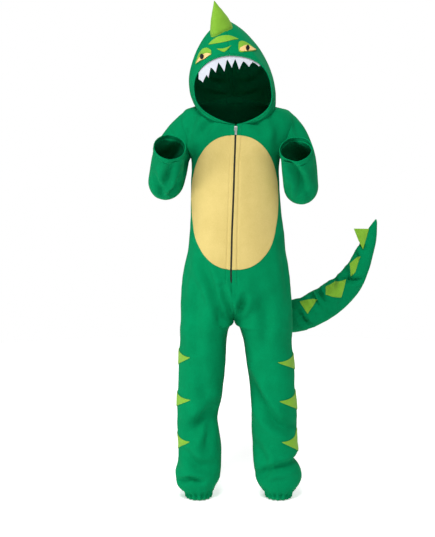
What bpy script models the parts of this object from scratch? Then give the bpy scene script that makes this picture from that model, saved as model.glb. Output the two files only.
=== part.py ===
"""Dinosaur costume: a hooded one-piece suit with a stuffed tail, as worn.

Sizes are in millimetres in the tables and become metres in each mesh.
The origin is inside the neck at shoulder level. +X is the viewer's right and the front faces -Y.
Side -1 is the viewer's left and side +1 is the viewer's right.
"""

import math

import bmesh
import bpy
from mathutils import Vector
from mathutils.bvhtree import BVHTree

MM = 0.001
CLOTH = 2.0  # wall of the brushed cloth
SEAM_TRIM = 0.16  # each panel stops this far from a seam line
PATCH_GAP = 0.6  # flat pieces lie this far out from the panel below
PATCH_THICK = 1.1
PANEL_COLUMNS = 9
ROUNDNESS = 0.87  # power of the sine and cosine in the body's rings
LEG_ROUNDNESS = 0.92
SEAM_Y = 4.0  # depth of the side seam behind the origin
BODY_QUARTER = 165.0  # cloth in a quarter of the body's ring and in half of a leg's, for the folds
LEG_QUARTER = 95.0

SHOULDER_POINT = -8.0
UNDERARM = -115.0
ARMHOLE_DIP = 0.36  # how far the armhole cuts into the front, as a share of a quarter turn
NECK_COLUMNS = 6  # columns of a panel that end at the neckline; the rest end at the shoulder seam
NECK_SHARE = NECK_COLUMNS / PANEL_COLUMNS
# Heights of the neckline, evenly spaced in turns from the front middle to the back middle
NECK_HEIGHTS = (-35, -31, -17, -2, 5, 8, 9, 10, 12, 15, 18, 21, 22)
BLEND_TOP = -440.0
CROTCH = -512.0
BLEND_POWER = 2.2
ANKLE = -919.0
CASING_ROWS = ((-0.15, 0.3), (-8.0, 1.0), (-20.0, 0.8))  # below the ankle, share of the gathers' depth

# Rings of the body: height, left edge, right edge, front depth, back depth, centre line
BODY = (
    (26, -60, 60, 56, 60, 3),
    (9, -86, 84, 62, 66, 3),
    (0, -112, 122, 68, 72, 3),
    (-8, -121, 134, 73, 77, 3),
    (-20, -128, 141, 78, 82, 3),
    (-36, -134, 145, 83, 87, 3),
    (-60, -133, 142, 89, 91, 2),
    (-90, -119, 126, 94, 93, 1),
    (-115, -103, 109, 96, 94, 0),
    (-180, -103, 109, 98, 92, -2),
    (-235, -104, 112, 98, 90, -4),
    (-287, -105, 118, 98, 91, -6),
    (-335, -110, 123, 97, 96, -7),
    (-384, -120, 133, 95, 104, -8),
    (-432, -127, 137, 91, 110, -6),
    (-480, -129, 141, 87, 106, -2),
    (-512, -129, 141, 84, 100, 0),
)
# Rings of the legs: height, outer left, inner left, inner right, outer right, front depth, back depth
LEGS = (
    (-440, -127, 0, 0, 138, 90, 108),
    (-512, -129, -1, 1, 141, 84, 100),
    (-529, -130, -14, 15, 141, 82, 97),
    (-554, -130, -17, 22, 141, 78, 92),
    (-585, -133, -19, 27, 143, 74, 84),
    (-620, -134, -21, 31, 146, 70, 77),
    (-660, -135, -25, 38, 148, 67, 71),
    (-700, -138, -29, 42, 151, 65, 68),
    (-728, -138, -37, 44, 154, 64, 66),
    (-751, -138, -40, 44, 157, 63, 64),
    (-778, -138, -37, 44, 157, 61, 63),
    (-803, -136, -32, 46, 156, 58, 63),
    (-828, -136, -30, 46, 157, 56, 62),
    (-845, -136, -30, 47, 150, 55, 61),
    (-860, -138, -30, 49, 159, 55, 60),
    (-877, -142, -31, 52, 165, 55, 60),
    (-893, -142, -33, 54, 166, 54, 59),
    (-907, -139, -40, 59, 161, 52, 56),
    (-919, -129, -47, 68, 152, 48, 51),
    (-927, -117, -55, 79, 141, 42, 44),
    (-939, -115, -56, 80, 139, 43, 45),
)
PANEL_ROWS = (
    -115, -160, -205, -250, -300, -350, -395, -403, -409, -440, -460, -478, -493, -504, -512,
    -530, -556, -590, -630, -668, -700, -727, -751, -778, -806, -834, -846, -862, -882, -898, -910,
    -919,
)
ARMHOLE_ROWS = 5

# Largest folds: side, turn and height at each end, half width, depth
FOLDS = (
    (1, 0.42, -680, 1.05, -795, 20, 6.0),
    (-1, 0.28, -718, 0.95, -800, 18, 5.0),
    (-1, 0.20, -735, 0.55, -738, 16, 4.0),
    (1, 0.85, -842, 1.15, -848, 13, 5.0),
    (-1, 0.55, -891, 1.0, -897, 12, 4.0),
    (1, 0.3, -887, 0.8, -894, 12, 3.5),
    (-1, 0.62, -385, 0.12, -490, 15, 4.5),
    (1, 0.45, -430, 0.14, -492, 14, 3.5),
    (-1, 1.30, -470, 1.85, -505, 16, 5.0),
    (1, 1.30, -468, 1.85, -505, 16, 5.0),
    (-1, 1.20, -735, 1.80, -752, 18, 5.5),
    (1, 1.15, -742, 1.80, -760, 18, 5.5),
    (-1, 1.25, -884, 1.8, -890, 12, 4.0),
    (1, 1.25, -880, 1.8, -888, 12, 4.0),
)

# Zip: height and half gap between the panel edges
ZIP_TOP = -37.0
ZIP_END = -403.0
ZIP_HALF_GAP = 2.1
TAPE_WIDTH = 13.0
TAPE_THICK = 0.8
COIL_HALF = 1.5
COIL_THICK = 1.5
ZIP_ROWS = 14
TAPE_DEPTH = 0.7  # behind the cloth's inner face
COIL_DEPTH = 0.8  # behind the cloth's outer face

# Slider and pull tab, which hangs from a bridge on the slider
SLIDER_HEIGHT = -44.0
SLIDER_HALF_WIDTH = 3.8
SLIDER_HALF_LENGTH = 5.0
SLIDER_THICK = 1.6
SLIDER_OUT = 0.35  # in front of the cloth
PULL_AXIS_OUT = 3.4  # in front of the slider's back face
BRIDGE_HALF = 1.1
BRIDGE_TOP = 2.6
PULL_HALF = 2.6
PULL_HALF_THICK = 0.5
PULL_SLOT = 4.2
PULL_LENGTH = 15.0

# Arms: start of the bend, tube radius at elbow and cuff, directions, forearm length
ARMS = {
    -1: {
        "bend_start": (-153, -3, -127),
        "radius": 44.0,
        "cuff_radius": 36.0,
        "upper": (-0.16, -0.03, -0.98),
        "fore": (0.10, -0.74, 0.66),
        "length": 108.0,
    },
    1: {
        "bend_start": (156, -3, -139),
        "radius": 41.0,
        "cuff_radius": 37.0,
        "upper": (0.10, -0.03, -0.99),
        "fore": (-0.13, -0.72, 0.68),
        "length": 118.0,
    },
}
SLEEVE_COLUMNS = 4 * ARMHOLE_ROWS  # two for each row of the front and of the back panel
BEND_CLEARANCE = 4.0
BEND_ROWS = 8
FORE_ROWS = 3
UPPER_ROWS = (0.0, 0.14, 0.3, 0.5, 0.75, 1.0)
CUFF_HEM = 14.0

# Arches of the hood, one for each point of the neckline from the front, then the nape:
# seam depth, seam height, widest half width, its depth, its height
HOOD = (
    (-108, 121, 90, -78, 42),
    (-106, 131, 92, -72, 43),
    (-99, 150, 95, -58, 45),
    (-82, 173, 99, -40, 48),
    (-56, 194, 101, -20, 50),
    (-24, 206, 101, 2, 50),
    (12, 208, 99, 24, 50),
    (48, 198, 94, 46, 52),
    (80, 176, 85, 64, 54),
    (101, 144, 72, 80, 54),
    (108, 104, 54, 90, 50),
    (96, 60, 32, 84, 42),
    (61, 22, 12, 60, 22),
)
HOOD_UP = 6
HOOD_DOWN = 4
HOOD_LEAN = -0.10
HOOD_PEAK = 1.1  # over 1 draws the crown in towards a peak
HOOD_RISE = 0.95
HOOD_SEAM_GAP = 0.25
HOOD_HEM = 0.8
TOOTH_THICK = 1.2
TEETH_GAP = 0.9
TEETH_INSIDE = 0.03  # how far inside the hood the strip is sewn, as a share of the hood

# Points and notches between them: x, z
TEETH_TIPS = ((-74, 61), (-61, 71), (-44, 83), (-24, 85), (-7, 94), (10, 90), (33, 96), (55, 99))
TEETH_NOTCHES = (
    (-85, 68), (-66, 78), (-56, 95), (-38, 106), (-18, 113), (1, 114), (20, 109), (42, 107), (64, 104),
)

# Flat pieces of the face: upper edge and lower edge as x, z, both from left to right
BROW_SPOT = (
    ((-60, 148), (-49, 159), (-35, 166), (-16, 168), (-4, 165), (8, 160)),
    ((-59, 147), (-44, 149), (-31, 151), (-17, 154), (-6, 157), (8, 159)),
)
NOSE_SPOT = (((-41, 137), (-24, 138), (-8, 144)), ((-40, 136), (-24, 130), (-9, 143)))
NOSE_SPOT_LIFT = -0.5  # the hood's faceted solid lies a little deeper here
EYES = {
    -1: {
        "lid": (
            ((-90, 104), (-83, 125), (-75, 136), (-64, 140), (-54, 134)),
            ((-89, 103), (-80, 113), (-71, 118), (-63, 119), (-53, 124)),
        ),
        "ball": (
            ((-87, 106), (-80, 117), (-70, 125), (-61, 127), (-54, 125)),
            ((-86, 105), (-78, 110), (-68, 114), (-60, 120), (-54, 124)),
        ),
        "pupil": (-73, 119, 4.0, 6.2),
    },
    1: {
        "lid": (
            ((8, 138), (9, 152), (18, 155), (30, 150), (41, 142), (50, 136)),
            ((9, 131), (15, 129), (23, 130), (33, 131), (42, 132), (49, 135)),
        ),
        "ball": (
            ((11, 138), (17, 142), (24, 145), (32, 144), (40, 140), (47, 136)),
            ((10, 133), (16, 131), (24, 131), (33, 132), (41, 133), (47, 135)),
        ),
        "pupil": (28, 138, 4.0, 6.2),
    },
}

# Horn: base centre and half widths on the hood, tip
HORN_BASE = (-32, -60)
HORN_HALF = (27, 21)
HORN_TIP = (-47, -97, 245)
HORN_SIDES = 14
# Share of the way to the tip, and share of the base width there
HORN_STEPS = ((0.0, 1.0), (0.14, 0.93), (0.32, 0.76), (0.52, 0.55), (0.72, 0.33), (0.88, 0.16), (1.0, 0.04))

# Belly oval as it shows from the front: centre x, z, half width, half height, power
BELLY = (1, -216, 101, 156, 2.4)
BELLY_SIDES = 44
BELLY_GAP = 0.45

# Leg spots: height of the point, half height at the seam, reach in panel columns, on the left and the right leg
LEG_SPOTS = (
    ((-594, 18, 3), (-605, 19, 4)),
    ((-697, 18, 3), (-700, 24, 4)),
    ((-800, 20, 3), (-800, 28, 4)),
)

# Tail centre line and half width: x, y, z, half width
TAIL = (
    (-4, 104, -405, 42),
    (4, 152, -430, 42),
    (34, 176, -470, 42),
    (82, 172, -505, 41),
    (130, 156, -519, 41),
    (172, 140, -511, 41),
    (212, 134, -492, 41),
    (250, 131, -466, 40),
    (286, 130, -433, 34),
    (309, 130, -397, 28.5),
    (325, 130, -360, 23.5),
    (337, 130, -328, 17.5),
    (346, 130, -300, 11.5),
    (352, 130, -282, 6),
    (354, 130, -272, 1.5),
)
TAIL_SIDES = 14
TAIL_DEPTH = 0.84  # depth of the tail as a share of its width in the front view
TAIL_EDGE_Y = 120.0  # depth of the upper edge where the spikes reach it
TAIL_SPIKES = (
    (((165, -477), (186, -470), (209, -470)), ((166, -479), (184, -505), (207, -472))),
    (((229, -440), (254, -426), (279, -420)), ((228, -457), (246, -462), (267, -464))),
    (((289, -381), (301, -370), (315, -362)), ((291, -411), (301, -402), (314, -366))),
)
SPIKE_LIFTS = (0.3, 0.3, 0.0)  # more where the tail's faceted solid bulges below the flat piece
# Corners of the point that stands off the tail's edge near its end: x, y, z
LAST_SPIKE = ((336, 122.0, -295), (298, 117, -294), (309, 113, -322), (321, 112.0, -345))
LAST_SPIKE_THICK = 1.6

GATHERS = 17
GATHER_DEPTH = 2.2
POINTS_IN_GATHER = 4


def interpolate(table, column, height):
    """Smooth value of one column at a height; the table's first column runs downwards."""
    if height >= table[0][0]:
        return float(table[0][column])
    if height <= table[-1][0]:
        return float(table[-1][column])
    row = next(i for i in range(len(table) - 1) if table[i + 1][0] <= height)
    before, start, end, after = (
        table[max(row - 1, 0)],
        table[row],
        table[row + 1],
        table[min(row + 2, len(table) - 1)],
    )
    span = end[0] - start[0]
    share = (height - start[0]) / span
    slope_start = (end[column] - before[column]) / (end[0] - before[0]) * span
    slope_end = (after[column] - start[column]) / (after[0] - start[0]) * span
    return hermite(start[column], end[column], slope_start, slope_end, share)


def hermite(start, end, slope_start, slope_end, share):
    square, cube = share**2, share**3
    return (
        start * (2 * cube - 3 * square + 1)
        + slope_start * (cube - 2 * square + share)
        + end * (3 * square - 2 * cube)
        + slope_end * (cube - square)
    )


def power(value, exponent):
    return math.copysign(abs(value) ** exponent, value)


def neck_height(turn):
    table = [(-index, height) for index, height in enumerate(NECK_HEIGHTS)]
    return interpolate(table, 1, -turn * NECK_COLUMNS)


def fold_depth(side, turn, height, ring_width):
    """How far the folds push the cloth in at a point of the body."""
    depth = 0.0
    for fold_side, turn_a, height_a, turn_b, height_b, half_width, most in FOLDS:
        if fold_side != side:
            continue
        along = Vector(((turn_b - turn_a) * ring_width, height_b - height_a))
        here = Vector(((turn - turn_a) * ring_width, height - height_a))
        share = min(max(here.dot(along) / along.length_squared, 0.0), 1.0)
        away = (here - along * share).length
        depth += most * math.sin(math.pi * (0.12 + 0.76 * share)) * math.exp(-((away / half_width) ** 2))
    return depth


def body_point(side, turn, height):
    """A point of the suit's outer face.

    turn is 0 at the front middle or inner leg seam, 1 at the side seam and 2 at the back middle.
    """
    angle = turn * math.pi / 2
    front = interpolate(BODY, 3, height)
    back = interpolate(BODY, 4, height)
    centre = interpolate(BODY, 5, height)
    edge = interpolate(BODY, 1 if side < 0 else 2, height)
    x = centre + (edge - centre) * power(math.sin(angle), ROUNDNESS)
    depth = front if turn <= 1 else back
    y = SEAM_Y - (depth + SEAM_Y * (1 if turn <= 1 else -1)) * power(math.cos(angle), ROUNDNESS)
    ring_width = BODY_QUARTER
    if height < BLEND_TOP:
        outer = interpolate(LEGS, 1 if side < 0 else 4, height)
        inner = side * max(interpolate(LEGS, 2 if side < 0 else 3, height) * side, centre * side)
        front = interpolate(LEGS, 5, height)
        back = interpolate(LEGS, 6, height)
        middle, half = (outer + inner) / 2, (outer - inner) / 2
        depth = front + SEAM_Y if turn <= 1 else back - SEAM_Y
        leg_x = middle - half * power(math.cos(2 * angle), LEG_ROUNDNESS)
        leg_y = SEAM_Y - depth * power(math.sin(2 * angle), LEG_ROUNDNESS)
        weight = min((BLEND_TOP - height) / (BLEND_TOP - CROTCH), 1.0) ** BLEND_POWER
        x += (leg_x - x) * weight
        y += (leg_y - y) * weight
        ring_width += (LEG_QUARTER - ring_width) * weight
        centre += (middle - centre) * weight
    inward = Vector((centre - x, SEAM_Y - y, 0))
    if inward.length > 1:
        inward.normalize()
    return Vector((x, y, height)) + inward * fold_depth(side, turn, height, ring_width)


def body_normal(side, turn, height):
    step = 0.004
    low, high = max(turn - step, 0.0), min(turn + step, 2.0)
    across = body_point(side, high, height) - body_point(side, low, height)
    down = body_point(side, turn, height - 1.5) - body_point(side, turn, height + 1.5)
    return (down.cross(across) * side).normalized()


def armhole_turn(height):
    share = (SHOULDER_POINT - height) / (SHOULDER_POINT - UNDERARM)
    return 1 - ARMHOLE_DIP * math.sin(math.pi * min(max(share, 0.0), 1.0)) ** 0.75


def top_edge(along, is_front):
    """Turn and height on a panel's top edge: the neckline from the middle, then the shoulder seam."""
    if along < NECK_SHARE:
        turn = along / NECK_SHARE if is_front else 2 - along / NECK_SHARE
        return Vector((turn, neck_height(turn)))
    share = (along - NECK_SHARE) / (1 - NECK_SHARE)
    start = neck_height(1)
    return Vector((1.0, start + (SHOULDER_POINT - start) * share))


def top_place(along, down, is_front):
    """Turn and height inside a panel's top region, between neckline, armhole and underarm level."""
    middle = 0.0 if is_front else 2.0
    neck_middle = neck_height(middle)
    bottom = Vector((along if is_front else 2 - along, UNDERARM))
    left = Vector((middle, neck_middle + (UNDERARM - neck_middle) * down))
    armhole_height = SHOULDER_POINT + (UNDERARM - SHOULDER_POINT) * down
    armhole = armhole_turn(armhole_height)
    right = Vector((armhole if is_front else 2 - armhole, armhole_height))
    corners = (
        Vector((middle, neck_middle)) * (1 - along) * (1 - down)
        + Vector((1.0, SHOULDER_POINT)) * along * (1 - down)
        + Vector((middle, UNDERARM)) * (1 - along) * down
        + Vector((1.0, UNDERARM)) * along * down
    )
    edges = top_edge(along, is_front) * (1 - down) + bottom * down + left * (1 - along) + right * along
    return edges - corners


def trim_row(points, at_start, at_end):
    """Moves the ends of a row of points inwards along the row."""
    points[0] = points[0] + (points[1] - points[0]).normalized() * at_start
    points[-1] = points[-1] + (points[-2] - points[-1]).normalized() * at_end
    return points


def panel_rows(side, is_front):
    """Outer points and normals of one panel, top to bottom, from the middle to the side."""
    places = []
    for step in range(ARMHOLE_ROWS):
        down = (1 - math.cos(math.pi * step / ARMHOLE_ROWS)) / 2
        places.append([top_place(i / PANEL_COLUMNS, down, is_front) for i in range(PANEL_COLUMNS + 1)])
    for height in PANEL_ROWS:
        turns = [i / PANEL_COLUMNS for i in range(PANEL_COLUMNS + 1)]
        places.append([Vector((t if is_front else 2 - t, height)) for t in turns])
    rows = [[body_point(side, turn, height) for turn, height in row] for row in places]
    normals = [[body_normal(side, turn, height) for turn, height in row] for row in places]
    for row in rows:
        zipped = is_front and row[0].z >= ZIP_END - 1
        trim_row(row, ZIP_HALF_GAP if zipped else SEAM_TRIM, SEAM_TRIM)
    columns = list(zip(*rows))
    for index, column in enumerate(columns):
        column = trim_row(list(column), SEAM_TRIM, SEAM_TRIM)
        for row, point in zip(rows, column):
            row[index] = point
    return rows, normals


def add_object(name, mesh, material):
    thing = bpy.data.objects.new(name, mesh)
    bpy.context.scene.collection.objects.link(thing)
    mesh.materials.append(material)
    mesh.shade_smooth()
    mesh.set_sharp_from_angle(angle=math.radians(50))
    return thing


def mesh_from(bm, name):
    bmesh.ops.recalc_face_normals(bm, faces=bm.faces)
    mesh = bpy.data.meshes.new(name)
    bm.to_mesh(mesh)
    bm.free()
    return mesh


def wall(name, rows, inner_rows, material, ring=False):
    """A closed wall between two grids of points, open or closed round each row."""
    bm = bmesh.new()
    faces = [[[bm.verts.new(p * MM) for p in row] for row in grid] for grid in (rows, inner_rows)]
    outer, inner = faces
    width = len(rows[0])
    steps = range(width) if ring else range(width - 1)
    for grid in faces:
        for upper, lower in zip(grid, grid[1:]):
            for i in steps:
                j = (i + 1) % width
                bm.faces.new((upper[i], upper[j], lower[j], lower[i]))
    for row_out, row_in in ((outer[0], inner[0]), (outer[-1], inner[-1])):
        for i in steps:
            j = (i + 1) % width
            bm.faces.new((row_out[i], row_out[j], row_in[j], row_in[i]))
    if not ring:
        for i in (0, width - 1):
            for k in range(len(rows) - 1):
                bm.faces.new((outer[k][i], outer[k + 1][i], inner[k + 1][i], inner[k][i]))
    return add_object(name, mesh_from(bm, name), material)


def moved(rows, normals, distance):
    return [[p + n * distance for p, n in zip(row, line)] for row, line in zip(rows, normals)]


def solid_of_rings(name, rings, material, seat):
    """A closed body through rings of points, closed by a fan to its seat and one to the last ring's middle."""
    bm = bmesh.new()
    loops = [[bm.verts.new(p * MM) for p in ring] for ring in rings]
    count = len(rings[0])
    for upper, lower in zip(loops, loops[1:]):
        for i in range(count):
            j = (i + 1) % count
            bm.faces.new((upper[i], upper[j], lower[j], lower[i]))
    for loop, end in ((loops[0], seat), (loops[-1], sum(rings[-1], Vector()) / count)):
        middle = bm.verts.new(end * MM)
        for i in range(count):
            bm.faces.new((loop[i], loop[(i + 1) % count], middle))
    return add_object(name, mesh_from(bm, name), material)


def surface_tree(point_at, across, down):
    """A fine net over a surface, used only to find places on it."""
    verts = [point_at(i / across, k / down) for k in range(down + 1) for i in range(across + 1)]
    faces = []
    for k in range(down):
        for i in range(across):
            corner = k * (across + 1) + i
            faces.append((corner, corner + 1, corner + across + 2, corner + across + 1))
    return BVHTree.FromPolygons(verts, faces)


def facet_tree(grids):
    """The panels' own flat faces, so that what lies on them clears every facet."""
    verts, faces = [], []
    for rows in grids:
        first, width = len(verts), len(rows[0])
        verts += [point for row in rows for point in row]
        for k in range(len(rows) - 1):
            for i in range(width - 1):
                corner = first + k * width + i
                below = corner + width
                faces += [(corner, corner + 1, below + 1), (corner, below + 1, below)]
    return BVHTree.FromPolygons(verts, faces)


def lifted(facets, place, normal):
    """The place, moved out along the normal where the panel's facets stand proud of it."""
    hit, _, _, _ = facets.ray_cast(place + normal * 12, -normal, 24)
    rise = (hit - place).dot(normal) if hit else 0.0
    return place + normal * max(rise, 0.0)


def on_tree(tree, x, z, from_front=True, edge_y=-60.0):
    """Place and outward normal where a line from the front or back meets a surface.

    A line that passes beside the surface takes the nearest place to itself at the depth edge_y.
    """
    way = 1 if from_front else -1
    place, normal, _, _ = tree.ray_cast(Vector((x, -600 * way, z)), Vector((0, way, 0)))
    if place is None:
        place, normal, _, _ = tree.find_nearest(Vector((x, edge_y, z)))
    if normal.y * way > 0:
        normal = -normal
    return place, normal


def outline_point(points, share):
    """A point along a line of points by its share of the length."""
    lengths = [math.dist(a, b) for a, b in zip(points, points[1:])]
    left = share * sum(lengths)
    for start, end, length in zip(points, points[1:], lengths):
        if left <= length or end is points[-1]:
            part = min(left / length, 1.0) if length else 0.0
            return [a + (b - a) * part for a, b in zip(start, end)]
        left -= length
    return list(points[-1])


def patch(name, upper, lower, nets, material, columns=6, rows=3, lift=0.0, edge_y=-60.0):
    """A flat piece between an upper and a lower edge, laid on the surface below it."""
    tree, facets = nets
    outer, inner = [], []
    for k in range(rows + 1):
        outer_row, inner_row = [], []
        for i in range(columns + 1):
            top = outline_point(upper, i / columns)
            bottom = outline_point(lower, i / columns)
            x, z = (a + (b - a) * k / rows for a, b in zip(top, bottom))
            place, normal = on_tree(tree, x, z, edge_y=edge_y)
            place = lifted(facets, place, normal)
            outer_row.append(place + normal * (PATCH_GAP + PATCH_THICK + lift))
            inner_row.append(place + normal * (PATCH_GAP + lift))
        outer.append(outer_row)
        inner.append(inner_row)
    return wall(name, outer, inner, material)


def material(name, colour, roughness, metallic=0.0):
    made = bpy.data.materials.new(name)
    made.use_nodes = True
    shader = made.node_tree.nodes["Principled BSDF"]
    red, green, blue = (int(colour[i : i + 2], 16) / 255 for i in (1, 3, 5))
    linear = [c / 12.92 if c <= 0.04045 else ((c + 0.055) / 1.055) ** 2.4 for c in (red, green, blue)]
    shader.inputs["Base Color"].default_value = (*linear, 1)
    shader.inputs["Roughness"].default_value = roughness
    shader.inputs["Metallic"].default_value = metallic
    made.diffuse_color = (*linear, 1)
    return made


def add_panels(cloth):
    grids = []
    fronts = {}
    for side, word in ((-1, "left"), (1, "right")):
        for is_front, part in ((True, "front"), (False, "back")):
            rows, normals = panel_rows(side, is_front)
            wall(f"{part}_{word}", rows, moved(rows, normals, -CLOTH), cloth)
            grids.append(rows)
            if is_front:
                fronts[word] = (rows, normals)
    return facet_tree(grids), fronts


def arm_frame(arm, side):
    """Directions of the bend: out to the side, and forward on the inner side of the elbow."""
    upper = Vector(arm["upper"]).normalized()
    fore = Vector(arm["fore"]).normalized()
    forward = (fore - upper * fore.dot(upper)).normalized()
    out = upper.cross(forward).normalized()
    if out.x * side < 0:
        out = -out
    return upper, fore, forward, out


def armhole_point(side, column):
    """Point and panel normal on the armhole's edge, from the shoulder by the front to the underarm and back."""
    if column % 2:
        ends = [armhole_point(side, column - 1), armhole_point(side, column + 1)]
        return (ends[0][0] + ends[1][0]) / 2, (ends[0][1] + ends[1][1]).normalized()
    down = (1 - math.cos(2 * math.pi * column / SLEEVE_COLUMNS)) / 2
    height = SHOULDER_POINT + (UNDERARM - SHOULDER_POINT) * down
    turn = armhole_turn(height)
    if column > SLEEVE_COLUMNS / 2:
        turn = 2 - turn
    return body_point(side, turn, height), body_normal(side, turn, height)


def into_hole(side, column, panel_normal):
    """Direction from the panel's edge into the armhole, along the panel's own face."""
    corners = [armhole_point(side, c)[0] for c in range(0, SLEEVE_COLUMNS, 2)]
    middle = sum(corners, Vector()) / len(corners)
    before = armhole_point(side, (column - 1) % SLEEVE_COLUMNS)[0]
    after = armhole_point(side, (column + 1) % SLEEVE_COLUMNS)[0]
    way = (after - before).cross(panel_normal).normalized()
    return way if way.dot(middle - (before + after) / 2) > 0 else -way


def sleeve_rings(side):
    """Outer rings of a sleeve from the armhole, round the elbow and out to the cuff."""
    arm = ARMS[side]
    upper, fore, forward, out = arm_frame(arm, side)
    start = Vector(arm["bend_start"])
    radius = arm["radius"]
    pivot = start + forward * (radius + BEND_CLEARANCE)
    angles = [2 * math.pi * i / SLEEVE_COLUMNS for i in range(SLEEVE_COLUMNS)]
    bend_angle = upper.angle(fore)
    rings = []
    leaving = Vector((side * 0.8, 0, -0.6))
    for share in UPPER_ROWS:
        ring = []
        for column, angle in enumerate(angles):
            hole, panel_normal = armhole_point(side, column)
            target = start + (out * math.cos(angle) + forward * math.sin(angle)) * radius
            span = (target - hole).length
            place = hermite(hole, target, leaving * span, upper * span * 0.9, share)
            if share == 0:
                way = into_hole(side, column, panel_normal) + panel_normal
                place = hole + way.normalized() * 2 * SEAM_TRIM
            ring.append(place)
        rings.append(ring)
    for step in range(1, BEND_ROWS + 1):
        share = step / BEND_ROWS
        turned = bend_angle * share
        spoke = -forward * math.cos(turned) + upper * math.sin(turned)
        size = radius + (arm["cuff_radius"] + 2.5 - radius) * share**2
        centre = pivot + spoke * (radius + BEND_CLEARANCE)
        centre -= spoke * (radius - size)
        rings.append([centre + (out * math.cos(a) - spoke * math.sin(a)) * size for a in angles])
    length = arm["length"]
    stops = [length * (k + 1) / FORE_ROWS - CUFF_HEM * (k + 1 == FORE_ROWS) for k in range(FORE_ROWS)]
    stops += [length - CUFF_HEM + 1.5, length]
    size_start = arm["cuff_radius"] + 2.5
    for stop in stops:
        size = size_start + (arm["cuff_radius"] - size_start) * stop / length
        if stop > length - CUFF_HEM:
            size += 0.9
        middle = centre + fore * stop
        rings.append([middle + (out * math.cos(a) - spoke * math.sin(a)) * size for a in angles])
    return rings


def ring_normals(rings):
    """Outward normals of a tube, from its neighbours round and along it."""
    normals = []
    for k, ring in enumerate(rings):
        before, after = rings[max(k - 1, 0)], rings[min(k + 1, len(rings) - 1)]
        middle = sum(ring, Vector()) / len(ring)
        line = []
        for i, point in enumerate(ring):
            round_way = ring[(i + 1) % len(ring)] - ring[i - 1]
            normal = round_way.cross(after[i] - before[i]).normalized()
            line.append(normal if normal.dot(point - middle) > 0 else -normal)
        normals.append(line)
    return normals


def add_sleeves(cloth):
    for side, word in ((-1, "left"), (1, "right")):
        rings = sleeve_rings(side)
        normals = ring_normals(rings)
        for i in range(SLEEVE_COLUMNS):
            way = into_hole(side, i, armhole_point(side, i)[1])
            lean = max(normals[0][i].dot(way), 0.0)
            normals[0][i] = (normals[0][i] - way * lean).normalized()
        wall(f"sleeve_{word}", rings, moved(rings, normals, -CLOTH), cloth, ring=True)


def neck_point(side, turn):
    """A point on the straight edges between the neckline's points, just above the panels."""
    step = min(int(turn * NECK_COLUMNS), 2 * NECK_COLUMNS - 1)
    ends = []
    for at in (step, step + 1):
        place = body_point(side, at / NECK_COLUMNS, neck_height(at / NECK_COLUMNS))
        place.z += 2 * SEAM_TRIM
        if at in (0, 2 * NECK_COLUMNS):
            place.x += side * (ZIP_HALF_GAP / 2 if at == 0 else HOOD_SEAM_GAP)
        ends.append(place)
    return ends[0].lerp(ends[1], turn * NECK_COLUMNS - step)


def hood_point(side, across, along):
    """across is 0 at the middle seam and 1 at the neckline; along runs from the face edge to the nape."""
    table = [(-index, *row) for index, row in enumerate(HOOD)]
    place = along * (len(HOOD) - 1)
    seam_y, seam_z, half, wide_y, wide_z = (interpolate(table, column, -place) for column in range(1, 6))
    nape = Vector(neck_point(side, 2 - across * 0.5 / NECK_COLUMNS))
    nape_share = max(place - (len(HOOD) - 2), 0.0)
    neck = neck_point(side, min(place / NECK_COLUMNS, 2 - 0.5 / NECK_COLUMNS))
    split = HOOD_UP / (HOOD_UP + HOOD_DOWN)
    if across <= split:
        angle = across / split * math.pi / 2
        rise = power(math.cos(angle), HOOD_RISE)
        x = half * power(math.sin(angle), HOOD_PEAK)
        y = wide_y + (seam_y - wide_y) * rise
        z = wide_z + (seam_z - wide_z) * rise
    else:
        angle = (across - split) / (1 - split) * math.pi / 2
        drop = ((across - split) / (1 - split)) ** 0.7
        stay = power(math.cos(angle), 0.75)
        neck_x = (neck.x - HOOD_LEAN * neck.z) * side
        x = neck_x + (half - neck_x) * stay
        y = wide_y + (neck.y - wide_y) * drop
        z = wide_z + (neck.z - wide_z) * drop
    point = Vector((side * x + HOOD_LEAN * z, y, z))
    return point.lerp(nape, nape_share**1.5)


def hood_normal(side, across, along):
    step = 0.01
    left, right = max(across - step, 0.0), min(across + step, 1.0)
    fore, aft = max(along - step, 0.0), min(along + step, 1.0)
    round_way = hood_point(side, right, along) - hood_point(side, left, along)
    back_way = hood_point(side, across, aft) - hood_point(side, across, fore)
    return (back_way.cross(round_way) * -side).normalized()


def add_hood(cloth):
    places = [0.0, 0.035, 0.05] + [k / (len(HOOD) - 1) for k in range(1, len(HOOD))]
    columns = HOOD_UP + HOOD_DOWN
    grids = []
    for side, word in ((-1, "left"), (1, "right")):
        rows, normals = [], []
        for along in places:
            row = [hood_point(side, i / columns, along) for i in range(columns + 1)]
            line = [hood_normal(side, i / columns, along) for i in range(columns + 1)]
            line[0] = Vector((0, line[0].y, line[0].z)).normalized()
            raised = HOOD_HEM if along < 0.04 else 0.0
            row = [p + n * raised for p, n in zip(row, line)]
            row[0].x += side * HOOD_SEAM_GAP
            rows.append(row)
            normals.append(line)
        wall(f"hood_{word}", rows, moved(rows, normals, -CLOTH), cloth)
        grids.append(rows)
    return hood_tree(), facet_tree(grids)


def hood_tree():
    def point(across, along):
        side = -1 if across < 0.5 else 1
        return hood_point(side, abs(across - 0.5) * 2, along)

    return surface_tree(point, 80, 60)


def face_edge_at(x):
    """Side and place across the hood where its face edge shows at this x, above the cheeks."""
    side = -1 if x < hood_point(1, 0, 0).x else 1
    low, high = 0.0, HOOD_UP / (HOOD_UP + HOOD_DOWN)
    for _ in range(20):
        across = (low + high) / 2
        if hood_point(side, across, 0).x * side < x * side:
            low = across
        else:
            high = across
    return side, low


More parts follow.
